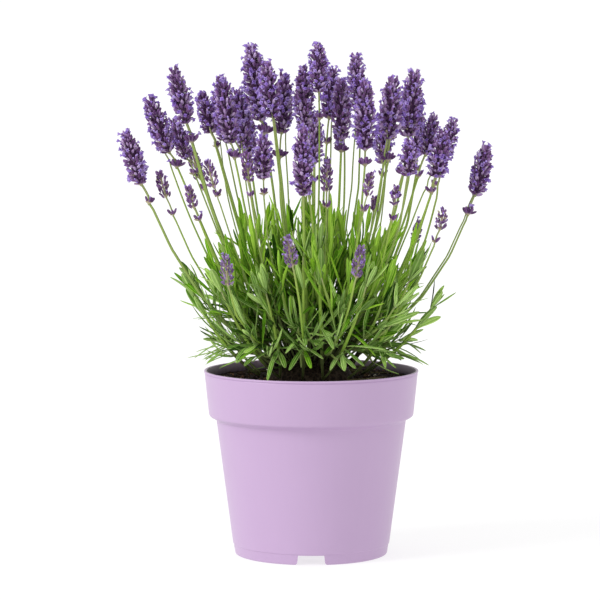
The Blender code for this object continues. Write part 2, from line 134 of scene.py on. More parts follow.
def bow(start: Array, middle: Array, end: Array, count: int) -> Array:
    """A smooth bend from a start to an end, drawn towards a point between them."""
    t = np.linspace(0, 1, count)[:, None]
    return (1 - t) ** 2 * start + 2 * t * (1 - t) * middle + t * t * end


def ease(share: Array | float) -> Array:
    """A share from 0 to 1, with a slow start and a slow end."""
    share = np.clip(share, 0.0, 1.0)
    return share * share * (3 - 2 * share)


def points_at(path: Array, run: Array, marks: Array) -> Array:
    """Points of a path where a number that grows along it reaches these marks."""
    return np.stack([np.interp(marks, run, path[:, k]) for k in range(3)], -1)


def along_path(path: Array, shares: Array) -> Array:
    """Points at even shares of a path's own length.

    Args:
        path: Points, as (n, 3).
        shares: Shares of the length, from 0 to 1.

    Returns:
        One point for each share.
    """
    steps = lengths(np.diff(path, axis=0))
    run = np.concatenate([[0.0], np.cumsum(steps)])
    return points_at(path, run, shares * run[-1])


# Shader nodes


class Field(Enum):
    """Numbers that the points of a piece carry for its finish."""

    ALONG = "along"
    ACROSS = "across"
    TONE = "tone"


class Wire:
    """A socket of numbers that takes part in sums: each operation adds a Math node."""

    def __init__(self, graph: "Graph", socket: Socket) -> None:
        """Keeps the graph that the socket belongs to."""
        self.graph = graph
        self.socket = socket

    def sum(self, operation: str, *values: "Wire | float") -> "Wire":
        """The result of one Math node on these values."""
        inputs = dict(enumerate(values))
        made = self.graph.node("ShaderNodeMath", {"operation": operation}, inputs)
        return Wire(self.graph, made.outputs[0])

    def __add__(self, other: "Wire | float") -> "Wire":
        """self + other."""
        return self.sum("ADD", self, other)

    def __radd__(self, other: float) -> "Wire":
        """other + self."""
        return self.sum("ADD", other, self)

    def __sub__(self, other: "Wire | float") -> "Wire":
        """self - other."""
        return self.sum("SUBTRACT", self, other)

    def __rsub__(self, other: float) -> "Wire":
        """other - self."""
        return self.sum("SUBTRACT", other, self)

    def __mul__(self, other: "Wire | float") -> "Wire":
        """self * other."""
        return self.sum("MULTIPLY", self, other)

    def __rmul__(self, other: float) -> "Wire":
        """other * self."""
        return self.sum("MULTIPLY", other, self)

    def step(self, start: float, end: float) -> "Wire":
        """0 below start and 1 above end, or the other way round if end is lower."""
        low, high, first, last = (start, end, 0.0, 1.0) if start < end else (end, start, 1.0, 0.0)
        settings = {"interpolation_type": "SMOOTHSTEP"}
        inputs = {0: self, 1: low, 2: high, 3: first, 4: last}
        made = self.graph.node("ShaderNodeMapRange", settings, inputs)
        return Wire(self.graph, made.outputs[0])


class Graph:
    """The nodes of one material or world, which end in one shader."""

    def __init__(self, owner: bpy.types.ID, shader: str, output: str) -> None:
        """Gives a material or world one shader, linked to its output.

        Args:
            owner: The material or world.
            shader: The shader node's type.
            output: The output node's type.
        """
        owner.use_nodes = True
        self.tree = owner.node_tree
        self.tree.nodes.clear()
        self.shader = self.node(shader)
        self.node(output, inputs={"Surface": self.shader.outputs[0]})

    def node(
        self, kind: str, settings: dict | None = None, inputs: dict | None = None
    ) -> bpy.types.Node:
        """Adds a node.

        Args:
            kind: The node's type.
            settings: Its properties, and under "stops" a ramp's places and colours.
            inputs: Values, sockets or wires, by the name or number of each input.

        Returns:
            The node.
        """
        made = self.tree.nodes.new(kind)
        for key, value in (settings or {}).items():
            if key == "stops":
                self.set_stops(made.color_ramp, value)
            else:
                setattr(made, key, value)
        for key, value in (inputs or {}).items():
            self.plug(made.inputs[key], value)
        return made

    def plug(self, target: Socket, value: object) -> None:
        """Links a wire or socket to an input, or sets the input's value."""
        if isinstance(value, Wire):
            self.tree.links.new(value.socket, target)
        elif isinstance(value, Socket):
            self.tree.links.new(value, target)
        elif target.type == "RGBA":
            target.default_value = (*value, 1.0)
        else:
            target.default_value = value

    @staticmethod
    def set_stops(ramp: bpy.types.ColorRamp, stops: tuple[tuple[float, RGB], ...]) -> None:
        """Gives a colour ramp these places and colours."""
        while len(ramp.elements) < len(stops):
            ramp.elements.new(1.0)
        for element, (place, colour) in zip(ramp.elements, stops, strict=True):
            element.position = place
            element.color = (*colour, 1.0)

    def field(self, name: Field) -> Wire:
        """The number that the piece's points carry under this name."""
        made = self.node("ShaderNodeAttribute", {"attribute_name": name.value})
        return Wire(self, made.outputs["Fac"])

    def carried(self, *names: Field) -> list[Wire]:
        """Several of those numbers."""
        return [self.field(name) for name in names]

    def place(self, scale: XYZ) -> Socket:
        """The point's place on the object in metres, times a scale."""
        inputs = {0: self.node("ShaderNodeTexCoord").outputs["Object"], 1: scale}
        return self.node("ShaderNodeVectorMath", {"operation": "MULTIPLY"}, inputs).outputs[0]

    def noise(self, size: float, detail: float = 2.0, spot: XYZ | Socket = EVEN) -> Wire:
        """Soft noise of about this size in metres, at a socket or at a scaled place."""
        spot = self.place(spot) if isinstance(spot, tuple) else spot
        inputs = {"Vector": spot, "Scale": 1 / size, "Detail": detail, "Roughness": 0.6}
        return Wire(self, self.node("ShaderNodeTexNoise", inputs=inputs).outputs[0])

    def cells(self, size: float, scale: XYZ = EVEN) -> Wire:
        """The distance to the nearest of many scattered points, this far apart."""
        inputs = {"Vector": self.place(scale), "Scale": 1 / size}
        return Wire(self, self.node("ShaderNodeTexVoronoi", inputs=inputs).outputs[0])

    def streaks(self, across: float, along: float) -> Wire:
        """Streaks along each shape, this many across and along it, different on each."""
        pairs = ((Field.ACROSS, across), (Field.ALONG, along), (Field.TONE, 90.0))
        inputs = {k: self.field(name) * size for k, (name, size) in enumerate(pairs)}
        spot = self.node("ShaderNodeCombineXYZ", inputs=inputs).outputs[0]
        return self.noise(1.0, spot=spot)

    def ramp(self, share: Wire, *stops: tuple[float, RGB]) -> Socket:
        """A colour that runs through these stops."""
        return self.node("ShaderNodeValToRGB", {"stops": stops}, {0: share}).outputs[0]

    def blend(self, share: Wire, first: object, second: object) -> Socket:
        """A colour between two others."""
        inputs = {0: share, 6: first, 7: second}
        return self.node("ShaderNodeMix", {"data_type": "RGBA"}, inputs).outputs[2]

    def shade(self, **values: object) -> None:
        """Sets the shader's inputs, whose names are written with underscores."""
        for key, value in values.items():
            self.plug(self.shader.inputs[key.replace("_", " ")], value)

    def bump(self, height: Wire, depth: float, strength: float = 1.0) -> None:
        """Raises the surface by a height from 0 to 1, times a depth in metres."""
        inputs = {"Height": height, "Distance": depth, "Strength": strength}
        self.shade(Normal=self.node("ShaderNodeBump", inputs=inputs).outputs[0])


class Finish(ABC):
    """The look of one kind of surface."""

    @abstractmethod
    def paint(self, graph: Graph) -> None:
        """Adds the finish's nodes to a graph."""

    def material(self) -> bpy.types.Material:
        """The finish as a new material."""
        made = bpy.data.materials.new(type(self).__name__)
        self.paint(Graph(made, "ShaderNodeBsdfPrincipled", "ShaderNodeOutputMaterial"))
        return made


@cache
def worn(finish: Finish) -> bpy.types.Material:
    """The material of a finish, made once."""
    return finish.material()


@dataclass(frozen=True)
class LilacPlastic(Finish):
    """Moulded plastic with a matt, finely grained face."""

    light: RGB = (0.512, 0.362, 0.562)
    deep: RGB = (0.478, 0.334, 0.530)
    # Near-black purple for the inside below the lip: soil stain and painted shade.
    stain_and_shade: RGB = (0.022, 0.004, 0.017)
    grain: float = 0.35 * MM
    cloud: float = 45 * MM

    def paint(self, graph: Graph) -> None:
        """Soft clouds, a fine grain and faint flow lines, with soil stain and painted shade on the
        inside.
        """
        cloud = graph.noise(self.cloud)
        grain = graph.noise(self.grain, 3.0)
        flow = graph.noise(4 * MM, 2.0, (1.0, 1.0, 0.06))
        splash = graph.noise(2.5 * MM, 3.0)
        # Painted shade and soil stain: the inside below the lip turns near-black purple.
        stain_and_shade_share = graph.field(Field.ALONG) * (0.92 + (splash - 0.5) * 0.5)
        colour = graph.blend(cloud * 0.7 + flow * 0.3, self.light, self.deep)
        graph.shade(Base_Color=graph.blend(stain_and_shade_share, colour, self.stain_and_shade))
        graph.shade(Roughness=0.4 + grain * 0.14 + cloud * 0.05)
        graph.shade(Coat_Weight=(1 - stain_and_shade_share) * 0.8, Coat_Roughness=0.4)
        graph.shade(Specular_IOR_Level=0.08)
        graph.bump(grain + flow * 0.6, 0.02 * MM, 0.6)


@dataclass(frozen=True)
class Peat(Finish):
    """Damp compost: dark crumbs with rust brown fibres."""

    dark: RGB = (0.0048, 0.0022, 0.0020)
    brown: RGB = (0.020, 0.008, 0.006)
    rust: RGB = (0.085, 0.034, 0.016)

    def paint(self, graph: Graph) -> None:
        """Crumbs of two sizes, darker in the gaps between them."""
        crumbs = graph.cells(1.7 * MM)
        fine = graph.noise(0.8 * MM, 4.0)
        patch = graph.noise(7 * MM, 3.0)
        colour = graph.blend(fine.step(0.35, 0.7), self.dark, self.brown)
        colour = graph.blend(patch.step(0.58, 0.72) * fine, colour, self.rust)
        graph.shade(Base_Color=colour, Roughness=0.75 + fine * 0.25, Specular_IOR_Level=0.15)
        graph.bump(fine + (1 - crumbs), 0.5 * MM)


@dataclass(frozen=True)
class BarkBits(Finish):
    """Chips, fibres and grains in the compost, each of its own colour."""

    stops: tuple[tuple[float, RGB], ...] = (
        (0.0, (0.010, 0.006, 0.005)),
        (0.45, (0.030, 0.015, 0.010)),
        (0.68, (0.085, 0.038, 0.020)),
        (0.84, (0.190, 0.098, 0.045)),
        (0.93, (0.330, 0.230, 0.120)),
        (1.0, (0.620, 0.580, 0.500)),
    )

    def paint(self, graph: Graph) -> None:
        """A colour for each bit, from black through rust and straw to a few pale grains."""
        grain = graph.noise(0.5 * MM, 3.0)
        streak = graph.noise(0.4 * MM, 2.0, (0.3, 1.0, 1.0))
        shade = graph.field(Field.TONE) + (grain - 0.5) * 0.12
        graph.shade(Base_Color=graph.ramp(shade, *self.stops))
        graph.shade(Roughness=0.7 + grain * 0.3, Specular_IOR_Level=0.15)
        graph.bump(streak + grain, 0.15 * MM)


@dataclass(frozen=True)
class OldWood(Finish):
    """Grey-brown bark that splits along the branch, green where it is young, all darkened nearly
    to black as painted shade.
    """

    # All four are far darker than the wood itself: painted shade for the crown under the leaves.
    furrow_in_shade: RGB = (0.006, 0.004, 0.003)
    bark_in_shade: RGB = (0.032, 0.019, 0.012)
    ash_in_shade: RGB = (0.070, 0.050, 0.034)
    young: RGB = (0.075, 0.090, 0.026)

    def paint(self, graph: Graph) -> None:
        """Long splits and flakes, with the young wood's green towards the end."""
        split = graph.noise(1.1 * MM, 4.0, (1.0, 1.0, 0.22))
        flake = graph.cells(2.2 * MM, (1.0, 1.0, 0.4))
        colour = graph.blend(split.step(0.38, 0.6), self.furrow_in_shade, self.bark_in_shade)
        colour = graph.blend(flake.step(0.45, 0.8) * 0.6, colour, self.ash_in_shade)
        youth = graph.field(Field.ALONG).step(0.55, 1.0) * 0.8
        graph.shade(Base_Color=graph.blend(youth, colour, self.young))
        graph.shade(Roughness=0.72 + split * 0.2, Specular_IOR_Level=0.15)
        graph.bump(split + flake, 0.35 * MM)


@dataclass(frozen=True)
class GreenStem(Finish):
    """A square, ribbed green stem, brown at its foot and yellow-green above."""

    foot: RGB = (0.060, 0.055, 0.020)
    green: RGB = (0.290, 0.480, 0.050)
    high: RGB = (0.390, 0.530, 0.100)
    dry: RGB = (0.460, 0.430, 0.250)
    dull: RGB = (0.330, 0.370, 0.160)
    # The dark green of the painted shade in the grooves.
    groove: RGB = (0.110, 0.200, 0.040)

    def paint(self, graph: Graph) -> None:
        """Pale ribs, grooves darkened with painted shade, darker streaks and a slow change of
        colour up the stem.
        """
        along, tone, dip = graph.carried(Field.ALONG, Field.TONE, Field.ACROSS)
        streak = graph.noise(0.9 * MM, 3.0, (1.0, 1.0, 0.08))
        stops = (0.2, self.foot), (0.42, self.green), (0.88, self.high), (1.0, self.dry)
        colour = graph.ramp(along, *stops)
        colour = graph.blend(tone * 0.6, colour, self.dull)
        # Painted shade darkens the grooves towards the groove colour; darker streaks along the
        # stem add to it.
        groove_shade_and_streaks = dip * 0.4 + (0.6 - streak) * 0.8
        graph.shade(Base_Color=graph.blend(groove_shade_and_streaks, colour, self.groove))
        graph.shade(Roughness=0.5 + streak * 0.2, Specular_IOR_Level=0.15)
        graph.bump(streak - dip, 0.12 * MM)


@dataclass(frozen=True)
class NarrowLeaf(Finish):
    """A narrow young leaf: fresh green, with a pale midrib and underside."""

    dark: RGB = (0.010, 0.040, 0.001)
    middle: RGB = (0.095, 0.315, 0.003)
    bright: RGB = (0.330, 0.650, 0.022)
    rib: RGB = (0.580, 0.830, 0.120)
    felt: RGB = (0.320, 0.540, 0.080)
    straw: RGB = (0.460, 0.430, 0.160)
    wool: float = 0.2

    def paint(self, graph: Graph) -> None:
        """Green by the leaf's tone, then its midrib, underside, margin and tip."""
        along, across, tone = graph.carried(Field.ALONG, Field.ACROSS, Field.TONE)
        mottle = graph.noise(2.6 * MM, 3.0)
        fuzz = graph.noise(0.45 * MM, 2.0)
        streak = graph.streaks(2.4, 3.5)
        # The tone carries painted shade from the mound as well as each leaf's own tone, so inner
        # leaves take the dark end.
        shade = tone + (mottle - 0.5) * 0.4 + (streak - 0.5) * 0.8
        colour = graph.ramp(shade, (0.0, self.dark), (0.5, self.middle), (1.0, self.bright))
        grey = graph.noise(20 * MM, 1.0).step(0.42, 0.6) * self.wool
        woolly = (grey + fuzz.step(0.5, 0.75) * 0.15) * tone.step(0.1, 0.7)
        colour = graph.blend(woolly, colour, self.felt)
        lit = tone.step(0.0, 0.6)
        margin = across.step(0.62, 0.95) * across.step(1.5, 1.05)
        pale = across.step(0.2, 0.0) * 0.6 + margin * 0.75 + along.step(0.22, 0.0) * 0.4
        colour = graph.blend(pale * lit, colour, self.rib)
        colour = graph.blend(across.step(1.02, 1.4) * lit * 0.45, colour, self.felt)
        colour = graph.blend(across.step(1.7, 2.0) * lit * 0.6, colour, self.rib)
        colour = graph.blend(along.step(0.955, 1.0) * mottle * 0.8, colour, self.straw)
        graph.shade(Base_Color=colour, Roughness=0.47 + fuzz * 0.2)
        graph.shade(Specular_IOR_Level=0.06, Sheen_Weight=0.02, Sheen_Roughness=0.4)
        graph.shade(Sheen_Tint=(0.84, 0.98, 0.40))
        graph.bump(fuzz * 0.6 + mottle + across.step(0.0, 1.0) * 5, 0.12 * MM, 0.8)


@dataclass(frozen=True)
class FeltedLeaf(NarrowLeaf):
    """An older leaf: grey-green and woolly."""

    dark: RGB = (0.013, 0.040, 0.002)
    middle: RGB = (0.098, 0.255, 0.016)
    bright: RGB = (0.380, 0.640, 0.100)
    rib: RGB = (0.700, 0.900, 0.330)
    felt: RGB = (0.400, 0.590, 0.190)
    wool: float = 0.4


@dataclass(frozen=True)
class Calyx(Finish):
    """A ribbed woolly tube, from dark plum to mauve, pale at its foot."""

    foot: RGB = (0.440, 0.350, 0.360)
    dusk: RGB = (0.086, 0.029, 0.114)
    plum: RGB = (0.270, 0.130, 0.345)
    mauve: RGB = (0.660, 0.500, 0.780)
    wool: RGB = (0.680, 0.590, 0.720)
    pale: float = 0.34

    def paint(self, graph: Graph) -> None:
        """A different mauve for each calyx, darker between its ribs, pale along them."""
        along, groove = graph.carried(Field.ALONG, Field.ACROSS)
        fuzz = graph.noise(0.75 * MM, 3.0)
        shade = graph.field(Field.TONE) + (fuzz - 0.5) * 0.9
        colour = graph.ramp(shade, (0.0, self.dusk), (0.5, self.plum), (1.0, self.mauve))
        colour = graph.blend(groove * 0.35, colour, self.dusk)
        colour = graph.blend(groove.step(0.3, 0.0) * fuzz * 0.7, colour, self.wool)
        colour = graph.blend(along.step(self.pale, 0.04) * 0.8, colour, self.foot)
        graph.shade(Base_Color=colour, Roughness=0.58 + fuzz * 0.25)
        graph.shade(Specular_IOR_Level=0.12, Sheen_Weight=0.5, Sheen_Roughness=0.3)
        graph.shade(Sheen_Tint=(0.78, 0.66, 0.90))
        graph.bump(fuzz - groove, 0.12 * MM)


@dataclass(frozen=True)
class YoungCalyx(Calyx):
    """A calyx that hasn't opened: paler and woollier, straw green at its foot."""

    foot: RGB = (0.420, 0.400, 0.220)
    dusk: RGB = (0.115, 0.060, 0.160)
    plum: RGB = (0.280, 0.185, 0.370)
    mauve: RGB = (0.560, 0.460, 0.660)
    pale: float = 0.5


@dataclass(frozen=True)
class ShadedSpikeCore(Finish):
    """The wool inside a flower spike, near black as painted shade between the calyxes."""

    # Near black: painted shade between the calyxes, over the wool's own plum.
    plum: RGB = (0.060, 0.022, 0.072)
    wool: RGB = (0.170, 0.110, 0.130)

    def paint(self, graph: Graph) -> None:
        """Almost black plum, painted shade, with strands of wool."""
        strand = graph.noise(0.8 * MM, 3.0, (1.0, 1.0, 0.5))
        colour = graph.blend(strand.step(0.5, 0.75), self.plum, self.wool)
        graph.shade(Base_Color=colour, Roughness=0.75 + strand * 0.2, Specular_IOR_Level=0.1)
        graph.bump(strand, 0.2 * MM)


@dataclass(frozen=True)
class Petal(Finish):
    """A violet petal, from deep violet in the throat to lilac at the margin."""

    throat: RGB = (0.130, 0.050, 0.320)
    violet: RGB = (0.370, 0.220, 0.720)
    lilac: RGB = (0.630, 0.480, 0.940)

    def paint(self, graph: Graph) -> None:
        """Violet that pales towards the margin, with fine veins."""
        along, tone = graph.carried(Field.ALONG, Field.TONE)
        vein = graph.noise(0.5 * MM, 3.0)
        colour = graph.blend(tone, self.violet, self.lilac)
        colour = graph.blend(along.step(0.8, 0.2), colour, self.throat)
        graph.shade(Base_Color=graph.blend((1 - vein) * 0.35, colour, self.throat))
        graph.shade(Roughness=0.52 + vein * 0.15, Specular_IOR_Level=0.2)
        graph.bump(vein, 0.08 * MM)


@dataclass(frozen=True)
class PaperyBract(Finish):
    """A dry bract: straw brown, with darker veins."""

    straw: RGB = (0.460, 0.400, 0.240)
    vein: RGB = (0.280, 0.200, 0.170)
    green: RGB = (0.290, 0.360, 0.130)

    def paint(self, graph: Graph) -> None:
        """Straw that turns green at the foot, with veins along the bract."""
        along, tone = graph.carried(Field.ALONG, Field.TONE)
        fibre = graph.noise(0.5 * MM, 3.0, (1.0, 1.0, 0.4))
        colour = graph.ramp(along, (0.0, self.green), (0.5, self.straw), (1.0, self.vein))
        colour = graph.blend(fibre.step(0.45, 0.7) * (0.3 + tone * 0.5), colour, self.vein)
        graph.shade(Base_Color=colour, Roughness=0.6 + fibre * 0.2)
        graph.bump(fibre, 0.1 * MM)


@dataclass(frozen=True)
class DeadLeaf(Finish):
    """A fallen leaf: dull olive brown, paler along its middle."""

    olive: RGB = (0.120, 0.115, 0.045)
    brown: RGB = (0.085, 0.048, 0.026)
    rib: RGB = (0.260, 0.220, 0.110)

    def paint(self, graph: Graph) -> None:
        """Olive that browns in blotches, with a pale midrib."""
        blotch = graph.noise(2.0 * MM, 3.0)
        tone = graph.field(Field.TONE)
        colour = graph.blend(blotch.step(0.35, 0.6) * tone, self.olive, self.brown)
        colour = graph.blend(graph.field(Field.ACROSS).step(0.3, 0.0) * 0.6, colour, self.rib)
        graph.shade(Base_Color=colour, Roughness=0.7 + blotch * 0.2)
        graph.bump(blotch, 0.15 * MM)


@dataclass(frozen=True)
class StudioFloor(Finish):
    """A plain pale floor with the faintest unevenness."""

    pale: RGB = (0.32, 0.32, 0.32)
    shade: RGB = (0.30, 0.30, 0.30)
    glow: float = 0.70

    def paint(self, graph: Graph) -> None:
        """Two near whites, matt, lit a little from below."""
        cloud = graph.noise(0.5)
        graph.shade(Base_Color=graph.blend(cloud, self.pale, self.shade), Roughness=0.9)
        graph.shade(Emission_Color=(1.0, 1.0, 1.0), Emission_Strength=self.glow)


# Meshes


@dataclass
class Sweeps:
    """Closed shapes of one kind: each is a stack of rings between two end points.

    Attributes:
        finish: What they all wear.
        rings: Points, as (shape, ring, side, xyz).
        starts: The end point before the first ring of each shape.
        ends: The end point after the last ring of each shape.
        tone: One number from 0 to 1 for each shape.
        along: The share of the length at each ring.
        across: A number for each side, such as 0 at a midrib and 1 at an edge.
        last: The share at the last end point, where it isn't the last ring's.
    """

    finish: Finish
    rings: Array
    starts: Array
    ends: Array
    tone: Array
    along: Array
    across: Array
    last: float | None = None

    @classmethod
    def single(cls, finish: Finish, rings: Array, ends: Array, along: Array) -> "Sweeps":
        """One closed shape, from its rings and its two end points."""
        starts, ends = ends[:1], ends[1:]
        return cls(finish, rings[None], starts, ends, np.zeros(1), along, np.zeros(rings.shape[1]))

    @property
    def shape(self) -> tuple[int, int, int]:
        """How many shapes there are, and their rings and sides."""
        return self.rings.shape[:3]

    def points(self) -> Array:
        """Every point, shape by shape: its rings, then its two ends."""
        count = self.shape[0]
        flat = self.rings.reshape(count, -1, 3)
        return np.concatenate([flat, self.starts[:, None], self.ends[:, None]], 1)

    def values(self, name: Field) -> Array:
        """The numbers that the points carry under a name, in the order of points."""
        count, rings, sides = self.shape
        if name is Field.TONE:
            return np.repeat(self.tone, rings * sides + 2)
        if name is Field.ALONG:
            last = self.along[-1] if self.last is None else self.last
            one = np.concatenate([np.repeat(self.along, sides), [self.along[0], last]])
        else:
            one = np.concatenate([np.tile(self.across, rings), np.full(2, self.across.mean())])
        return np.tile(one, count)

    def faces(self) -> tuple[Array, Array]:
        """The quads between the rings and the triangles at the ends of one shape."""
        _, rings, sides = self.shape
        here = np.arange(rings * sides).reshape(rings, sides)
        nigh = np.roll(here, -1, axis=1)
        quads = np.stack([here[:-1], nigh[:-1], nigh[1:], here[1:]], -1).reshape(-1, 4)
        tips = np.full(sides, rings * sides)
        first = np.stack([tips, nigh[0], here[0]], -1)
        last = np.stack([tips + 1, here[-1], nigh[-1]], -1)
        return quads, np.concatenate([first, last])

    def corners(self) -> tuple[Array, Array]:
        """Where the corners of those faces lie on a unit square, along and around."""
        _, rings, sides = self.shape
        steps = np.linalg.norm(np.diff(self.rings[0].mean(1), axis=0), axis=1)
        radii = lengths(np.diff(self.rings[0], axis=0)).mean(1)
        run = np.concatenate([[0.0], np.cumsum(np.maximum(steps, radii))])
        run = 0.04 + 0.92 * run / run[-1]
        turn = np.arange(sides + 1) / sides
        low, high = np.meshgrid(run[:-1], turn[:-1], indexing="ij")
        low_next, high_next = np.meshgrid(run[1:], turn[1:], indexing="ij")
        quads = np.stack([low, high, low, high_next, low_next, high_next, low_next, high], -1)
        left, right, middle = turn[:-1], turn[1:], (turn[:-1] + turn[1:]) / 2
        ends = []
        for tip, ring, swap in ((0.0, run[0], True), (1.0, run[-1], False)):
            a, b = (right, left) if swap else (left, right)
            flat = np.full(sides, ring)
            ends.append(np.stack([np.full(sides, tip), middle, flat, a, flat, b], -1))
        return quads.reshape(-1, 4, 2), np.concatenate(ends).reshape(-1, 3, 2)

    def inside_out(self) -> bool:
        """Whether the first shape's faces point inwards."""
        points = self.points()[0]
        quads, fans = self.faces()
        corners = np.concatenate([quads[:, [0, 1, 2]], quads[:, [0, 2, 3]], fans])
        return bool(np.linalg.det(points[corners]).sum() < 0)

    def size(self) -> tuple[float, float]:
        """The length and the girth of the shapes, on average."""
        middles = self.rings.mean(2)
        length = lengths(np.diff(middles, axis=1)).sum(1).mean()
        sides = lengths(np.roll(self.rings, -1, axis=2) - self.rings)
        return float(length), float(sides.sum(2).mean())


@dataclass
class Piece:
    """One visible piece: sweeps joined in a mesh, each with a cell of the bake map."""

    name: str
    slot: str
    sweeps: list[Sweeps] = field(default_factory=list)

    MARGIN = 0.07
    LEAST_BAND = 0.06

    def add(self, *sweeps: Sweeps) -> None:
        """Takes these sweeps in, apart from empty ones."""
        self.sweeps += [group for group in sweeps if len(group.tone)]

    def build(self, *stands_for: str) -> Object:
        """The piece as an object, which stands for these CAD nodes."""
        return adopt(bpy.data.objects.new(self.name, self.mesh()), self.slot, *stands_for)

    def mesh(self) -> bpy.types.Mesh:
        """The sweeps as one mesh, with their numbers, materials and bake map."""
        faces, spots, finishes, marks = [], [], [], []
        offset = 0
        for group, cells in zip(self.sweeps, self.bake_cells(), strict=True):
            count, rings, sides = group.shape
            if group.finish not in finishes:
                finishes.append(group.finish)
            starts = offset + np.arange(count)[:, None, None] * (rings * sides + 2)
            order = slice(None, None, -1) if group.inside_out() else slice(None)
            for corners, flat in zip(group.faces(), group.corners(), strict=True):
                faces += (corners[None, :, order] + starts).reshape(-1, corners.shape[1]).tolist()
                placed = cells[:, None, None, :2] + flat[None, :, order] * cells[:, None, None, 2:]
                spots.append(placed.reshape(-1, 2))
                marks.append(np.full(count * len(corners), finishes.index(group.finish)))
            offset += count * (rings * sides + 2)
        points = np.concatenate([group.points().reshape(-1, 3) for group in self.sweeps])
        mesh = bpy.data.meshes.new(self.name)
        mesh.from_pydata(points.tolist(), [], faces)
        for name in Field:
            values = np.concatenate([group.values(name) for group in self.sweeps])
            mesh.attributes.new(name.value, "FLOAT", "POINT").data.foreach_set("value", values)
        for finish in finishes:
            mesh.materials.append(worn(finish))
        mesh.polygons.foreach_set("material_index", np.concatenate(marks))
        layer = mesh.uv_layers.new(name=BAKE_MAP)
        layer.uv.foreach_set("vector", np.concatenate(spots).astype(np.float32).ravel())
        mesh.shade_smooth()
        mesh.update()
        return mesh

    def bake_cells(self) -> list[Array]:
        """A cell of the bake map for each shape.

        Returns:
            For each group, the corner and the size of each shape's cell, as (shape, 4).
        """
        sizes = [(len(group.tone), *group.size()) for group in self.sweeps]
        areas = np.prod(sizes, axis=1)
        shares = np.maximum(areas / areas.sum(), self.LEAST_BAND)
        floor, bands = 0.0, []
        for (count, length, girth), share in zip(sizes, shares / shares.sum(), strict=True):
            columns = max(1, round(math.sqrt(count * girth / (max(length, 1e-6) * share))))
            rows = math.ceil(count / columns)
            wide, high = 1 / columns, share / rows
            index = np.arange(count)
            corner = np.stack([index % columns * wide, floor + index // columns * high], -1)
            size = np.tile([wide, high], (count, 1))
            inset = self.MARGIN * min(wide, high)
            bands.append(np.concatenate([corner + inset, size - 2 * inset], 1))
            floor += share
        return bands


def adopt(made: Object, slot: str, *stands_for: str) -> Object:
    """Links an object to the scene and to the plant's body.

    Args:
        made: The object.
        slot: The record's material slot; not used.
        stands_for: The CAD nodes that it stands for.

    Returns:
        The object.
    """
    if made.name not in bpy.context.scene.collection.all_objects:
        bpy.context.scene.collection.objects.link(made)
    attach(made, "root")
    if stands_for:
        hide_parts(*stands_for)
    LOG.info("%s: %d faces", made.name, len(made.data.polygons))
    return made


def tubes(
    finish: Finish, paths: Array, radii: Array, sides: int, tone: Array, groove: float = 0.0
) -> Sweeps:
    """Round or ribbed tubes.

    Args:
        finish: What they wear.
        paths: Centre lines, as (tube, ring, xyz).
        radii: Radii, as (tube, ring).
        sides: How many sides a ring has.
        tone: One number from 0 to 1 for each tube.
        groove: How deep every second side lies, as a share of the radius.

    Returns:
        The tubes.
    """
    ways = unit(np.gradient(paths, axis=1))
    sideways = np.empty_like(ways)
    sideways[:, 0] = any_square(ways[:, 0])
    for i in range(1, ways.shape[1]):
        sideways[:, i] = square_to(ways[:, i], sideways[:, i - 1])
    turn = full_turn(sides)
    dips = np.arange(sides) % 2
    round_out = (1 - groove * dips)[None, None, :, None]
    cos, sin = np.cos(turn)[:, None], np.sin(turn)[:, None]
    arms = sideways[:, :, None] * cos + np.cross(ways, sideways)[:, :, None] * sin
    rings = paths[:, :, None] + radii[:, :, None, None] * round_out * arms
    caps = radii[:, [0, -1], None] * ways[:, [0, -1]] * 0.5
    share = np.linspace(0, 1, paths.shape[1])
    starts, ends = paths[:, 0] - caps[:, 0], paths[:, -1] + caps[:, 1]
    return Sweeps(finish, rings, starts, ends, tone, share, dips.astype(float))


@dataclass
class Mould:
    """One small shape of revolution with lobes, to be set in many places.

    Attributes:
        finish: What it wears.
        profile: Rings as (height, radius, lobe depth, value along), from foot to end.
        start: Height of the first end point.
        end: Height of the last end point.
        sides: How many sides it has.
        lobes: How many lobes or ribs run round it.
        lip: How much farther its lobed rings reach on one side than on the other.
        throat: The value along at its last end point, where it isn't the last ring's.
    """

    finish: Finish
    profile: tuple[tuple[float, float, float, float], ...]
    start: float
    end: float
    sides: int
    lobes: int
    lip: float = 0.0
    throat: float | None = None

    def set_in(
        self, feet: Array, axes: Array, long: Array, wide: Array, tone: Array, roll: Array
    ) -> Sweeps:
        """Copies of the shape.

        Args:
            feet: Where each starts.
            axes: The unit axis of each.
            long: The length of each.
            wide: The radius of each.
            tone: A number from 0 to 1 for each.
            roll: How far each is turned about its axis.

        Returns:
            The copies.
        """
        height, radius, depth, along = np.array(self.profile).T
        turn = full_turn(self.sides)
        dips = 0.5 + 0.5 * np.cos(self.lobes * turn)
        lean = 1 + self.lip * (depth[:, None] > 0) * np.cos(turn)
        reach = radius[:, None] * (1 - depth[:, None] * dips) * lean
        first = spun(axes, any_square(axes), roll)
        second = np.cross(axes, first)
        cos, sin = (reach * np.cos(turn))[..., None], (reach * np.sin(turn))[..., None]
        flat = cos * first[:, None, None] + sin * second[:, None, None]
        rise = height[:, None, None] * axes[:, None, None] * long[:, None, None, None]
        rings = feet[:, None, None] + flat * wide[:, None, None, None] + rise
        starts = feet + axes * (self.start * long)[:, None]
        ends = feet + axes * (self.end * long)[:, None]
        return Sweeps(self.finish, rings, starts, ends, tone, along, dips, self.throat)


# The pot and what is in it


